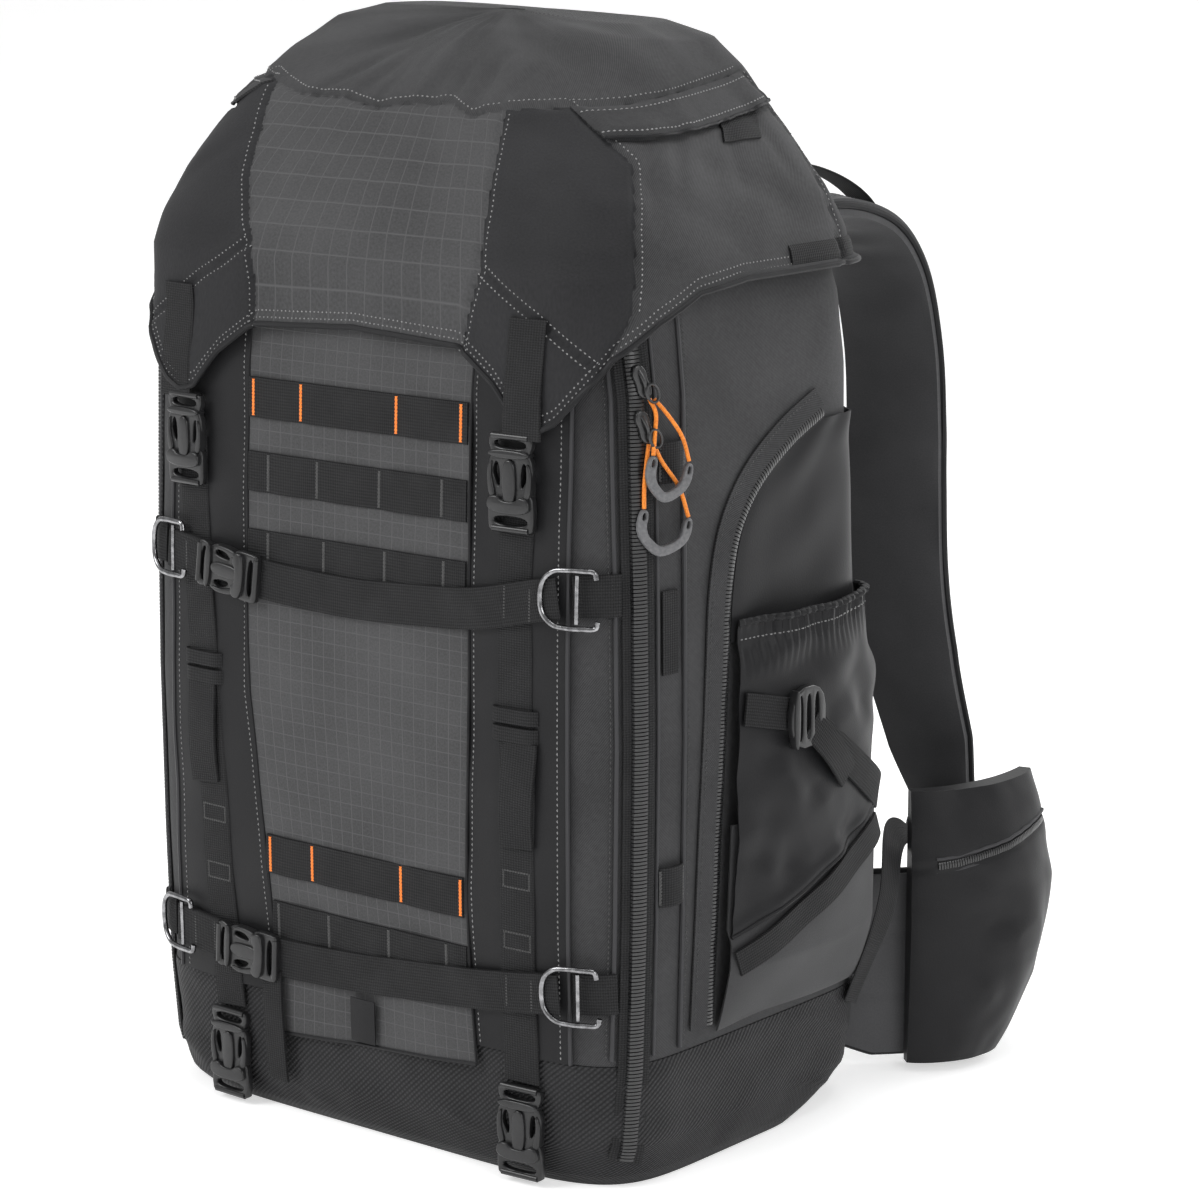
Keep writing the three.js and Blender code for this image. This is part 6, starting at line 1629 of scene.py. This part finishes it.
# Each row is how far out and behind the wing lies, and its lower and upper edge, as shares.
WING = np.array([[0, 0, 0.16, 0.9], [0.3, 0.06, 0.08, 0.94], [0.55, 0.17, 0, 1], [0.86, 0.36, 0, 1],
                 [1, 0.58, 0, 1], [1, 0.8, 0.04, 0.95], [0.9, 1, 0.14, 0.8]])
fine = np.linspace(0, 1, 401)
for name, side in SIDES:
    rear = back_at(95)
    curve = curve_through([[side * (WING_ROOT + WING_REACH * o), rear + WING_SEAT + WING_DEPTH * b, 0]
                           for o, b, _, _ in WING], fine)
    ahead = unit(np.gradient(curve, axis=0))
    outward = np.stack([side * ahead[:, 1], -side * ahead[:, 0], np.zeros(401)], -1)

    def along(t, rows):
        return np.stack([np.interp(t, fine, rows[:, k]) for k in range(3)], -1)

    t = np.linspace(0, 1, 84)
    v = np.linspace(0, 1, 44)
    low = WING_BOTTOM + WING_HEIGHT * np.interp(t, np.linspace(0, 1, 7), WING[:, 2])
    high = WING_BOTTOM + WING_HEIGHT * np.interp(t, np.linspace(0, 1, 7), WING[:, 3])
    t_grid, v_grid = np.meshgrid(t, v, indexing="ij")
    thick = (WING_THICK * (0.4 + 0.6 * hump(mix(0.08, 0.92, v_grid)) ** 0.5))[..., None]
    centre = along(t_grid, curve) + [0, 0, 1] * mix(low[:, None], high[:, None], v_grid)[..., None]
    out = unit(along(t_grid, outward))
    quilt = 1.1 * np.exp(-((v_grid - 0.33) / 0.02) ** 2) + 1.1 * np.exp(-((v_grid - 0.67) / 0.02) ** 2)
    fold = 0.8 * fold_noise(t_grid * 220, v_grid * 120, 26, 91) * hump(v_grid) ** 0.5 - quilt
    outer = centre + out * (thick / 2 + fold[..., None])
    wing = cloth(f"hip_wing_{name}_pad", outer, out, thick + fold[..., None], strap_grey, sharp=50)
    on_bag(wing, "harness_cloth", f"hip_wing_{name}")
    for label, column in (("lower", 0), ("upper", -1)):
        round_trim(f"hip_wing_binding_{label}_{name}", centre[:, column], 3.0, 8, binding_black, "harness_cloth")
    v, u = np.meshgrid(np.linspace(0, 1, 88), np.linspace(0, 1, 70), indexing="ij")
    t_grid = mix(0.42, np.interp(v, [0, 0.25, 0.6, 1], [0.7, 0.86, 0.97, 0.86]), u)
    swell = (hump(mix(0.05, 0.95, u)) * hump(mix(0.05, 0.95, v))) ** 0.4
    z = mix(HIP_POCKET_LOW, HIP_POCKET_HIGH, v)
    out = unit(along(t_grid, outward))
    fold = swell * (2.6 * fold_noise(u * 120, z * 0.8, 36, 92) + 1.5 * fold_noise(u * 120 + z * 0.4, z, 17, 93))
    slot = np.exp(-((v - 0.72 - 0.12 * u) / 0.014) ** 2) * swell
    outer = along(t_grid, curve) + [0, 0, 1] * z[..., None]
    proud = 8 + 2 + (HIP_POCKET_THICK - 2) * swell + np.clip(fold, -2.5, 2.5) - 2.0 * slot
    outer = outer + out * proud[..., None]
    depth = (2 + (HIP_POCKET_THICK - 2) * swell + np.clip(fold, -2.5, 2.5) - 2.0 * slot)[..., None]
    on_bag(cloth(f"hip_pocket_{name}_cloth", outer, out, depth, pocket_black, sharp=50), "smooth_cloth",
           f"hip_pocket_{name}")
    rows = np.clip(np.round((0.72 + 0.12 * u[0]) * 87).astype(int), 0, 87)[6:-6]
    columns = np.arange(70)[6:-6]
    line, line_out = outer[rows, columns], out[rows, columns]
    padded_line = [np.pad(line[:, k], 4, mode="edge") for k in range(3)]
    smooth = np.stack([np.convolve(row, np.ones(9) / 9, "valid") for row in padded_line], -1)
    on_bag(sewn(f"hip_pocket_{name}_coil", *teeth(smooth, line_out, 1.8, 2.8, 2.0), coil_black, sharp=30,
                mend=False), "zip_coil")
    for gap in (-4.6, 4.6):
        label = "low" if gap < 0 else "high"
        round_trim(f"hip_pocket_{label}_piping_{name}", smooth + [0, 0, gap] + line_out * 0.6, 1.2, 7,
                   grey_piping, "smooth_cloth")

# Back panel and lumbar pad
# Foam pads under black spacer mesh cover the back, with channels moulded into them for air. They are sewn
# flat round their edges.
for label, bottom, top, half, thick, crown in (("back_panel", 168, 512, 140, 18, 0.3),
                                               ("lumbar_pad", 34, 167.5, 118, 26, 0.35)):
    v, u = np.meshgrid(np.linspace(0, 1, 96), np.linspace(0, 1, 82), indexing="ij")
    z = mix(bottom, top, v)
    narrow = mix(0.86, 1, hump(mix(0.12, 0.88, v)) ** 0.5)
    place = mix(half, -half, u) * narrow
    swell = (np.maximum(hump(mix(0.04, 0.96, u)) * hump(mix(0.04, 0.96, v)), 0)) ** crown
    channel = np.exp(-(place / 13) ** 2)
    if label == "back_panel":
        channel = np.maximum(channel, np.exp(-((v - 0.36) / 0.03) ** 2))
        channel = np.maximum(channel, np.exp(-((v - 0.7) / 0.03) ** 2))
    lift = 0.6 + 2 + (thick - 2) * swell * (1 - 0.55 * channel) + 0.4 * fold_noise(place, z, 30, 95)
    points, out = skin(half_girth(z) + place, z, lift)
    made = cloth(f"{label}_mesh", points, grid_out(points, out), (lift - 0.8)[..., None] * 0.9, spacer_mesh, sharp=50)
    on_bag(made, "back_mesh", label)
    ring = np.concatenate([points[0], points[1:, -1], points[-1, ::-1][1:], points[::-1, 0][1:-1]])
    on_bag(sewn(f"{label}_binding", *tube(ring, 2.0, 8, closed=True), binding_black), "back_mesh")

# Small trim
# A black webbing strip runs along the lid's rim at each side, a bare label sits at the panel flap, a short
# webbing pull hangs at the front foot, and webbing loops stand beside the zips.
for name, side in SIDES:
    degrees = side * np.linspace(95, 150, 60)
    turn = np.radians(degrees)
    rim = rim_level(turn)
    rows = []
    for t in np.linspace(0, 1, 7):
        at, _ = on_lid(np.stack([degrees, rim + 3 + 13 * t], -1))
        rows.append(at)
    points = np.array(rows)
    out = grid_out(points, points * [1, 1, 0])
    edge = np.array([0.2, 1.3, 1.6, 1.6, 1.6, 1.3, 0.2])[:, None, None]
    on_bag(cloth(f"lid_rim_strip_{name}", points + out * edge, out, 1.4, webbing_black), "webbing")
    for label, z_bit in (("upper", 430), ("lower", 176)):
        z_grid, t_grid = np.meshgrid(np.linspace(z_bit, z_bit + 24, 12), np.linspace(0, 1, 25), indexing="ij")
        gap = flank_at(z_grid) - ZIP_PLACE + mix(14, 34, t_grid)
        points, out = skin(side * gap, z_grid, 2.6 + 3.0 * hump(t_grid) ** 0.8)
        on_bag(cloth(f"zip_side_loop_{label}_{name}", points, grid_out(points, out), 1.3, webbing_black), "webbing")
        tacks = [bartack(side * float(flank_at(z_bit) - ZIP_PLACE + g), z_bit + 12, 21, 3.2, 2.4) for g in (15, 33)]
        thread_work(f"zip_side_loop_tacks_{label}_{name}", tacks, black_thread, "webbing")

z_grid, t_grid = np.meshgrid(np.linspace(64, 92, 16), np.linspace(0, 1, 16), indexing="ij")
points, out = skin(mix(-6, 14, t_grid), z_grid, 6.6 + 0.5 * hump(t_grid))
on_bag(cloth("flap_label_bare", points, grid_out(points, out), 0.8, band_black), "smooth_cloth")

pull_z = np.linspace(24, 96, 40)
sway = 3 * np.sin((96 - pull_z) / 30)
pull, _, _ = webbing("flap_pull_webbing", -72 + sway, pull_z, 7.0 + 2.5 * hump((96 - pull_z) / 72), 16)
on_bag(pull, "webbing")

# Lid tab
# A short webbing tab is sewn flat onto each side of the lid.
for name, side in SIDES:
    share = np.linspace(0, 1, 30)
    rows = []
    for t in np.linspace(0, 1, 9):
        low = mix(92, 105, t), mix(87, 99, t)
        places = np.stack([side * mix(low[0], low[1], share), mix(643, 622, share)], -1)
        rows.append(on_lid(places)[0])
    points = np.array(rows)
    out = grid_out(points, points * [1, 1, 0.4])
    on_bag(cloth(f"lid_tab_{name}", points + out * 1.7, out, 1.4, webbing_black), "webbing")

# Studio
# A plain pale floor and backdrop, with a large soft light on each side and one above, as in a catalogue
# picture.
floor_mesh = bpy.data.meshes.new("studio_floor")
sweep = [(-9, 0), (4, 0), (5.2, 0.35), (5.9, 1.2), (6, 6)]
floor_points = [(x, y, z) for y, z in sweep for x in (-9, 9)]
floor_mesh.from_pydata(floor_points, [], [(2 * i, 2 * i + 1, 2 * i + 3, 2 * i + 2) for i in range(len(sweep) - 1)])
floor = bpy.data.objects.new("studio_floor", floor_mesh)
bpy.context.scene.collection.objects.link(floor)
floor_paint, nodes, links, shader = nodes_of("studio_white")
shader.inputs["Base Color"].default_value = (0.86, 0.86, 0.86, 1)
shader.inputs["Roughness"].default_value = 0.9
shader.inputs["Emission Color"].default_value = (1, 1, 1, 1)
shader.inputs["Emission Strength"].default_value = 0.5
floor_mesh.materials.append(floor_paint)
floor_mesh.shade_smooth()
floor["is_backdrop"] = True

world = bpy.data.worlds.new("studio_air")
world.use_nodes = True
world.node_tree.nodes["Background"].inputs[0].default_value = (1, 1, 1, 1)
world.node_tree.nodes["Background"].inputs[1].default_value = 0.42
bpy.context.scene.world = world
bpy.context.scene.view_settings.view_transform = "Standard"
LAMPS = {"key": ((-1.6, -2.6, 2.3), 1.6, 62), "side": ((2.9, -1.0, 1.5), 1.4, 27), "top": ((0.2, 0.2, 3.0), 1.8, 36),
         "back": ((0.9, 2.6, 1.9), 1.4, 22)}
for name, (at, size, power) in LAMPS.items():
    lamp = bpy.data.lights.new("lamp_" + name, "AREA")
    lamp.size = size
    lamp.energy = power
    holder = bpy.data.objects.new(lamp.name, lamp)
    bpy.context.scene.collection.objects.link(holder)
    holder.location = at
    holder.rotation_mode = "QUATERNION"
    holder.rotation_quaternion = (Vector((0, -0.07, 0.36)) - Vector(at)).to_track_quat("-Z", "Y")

low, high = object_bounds()
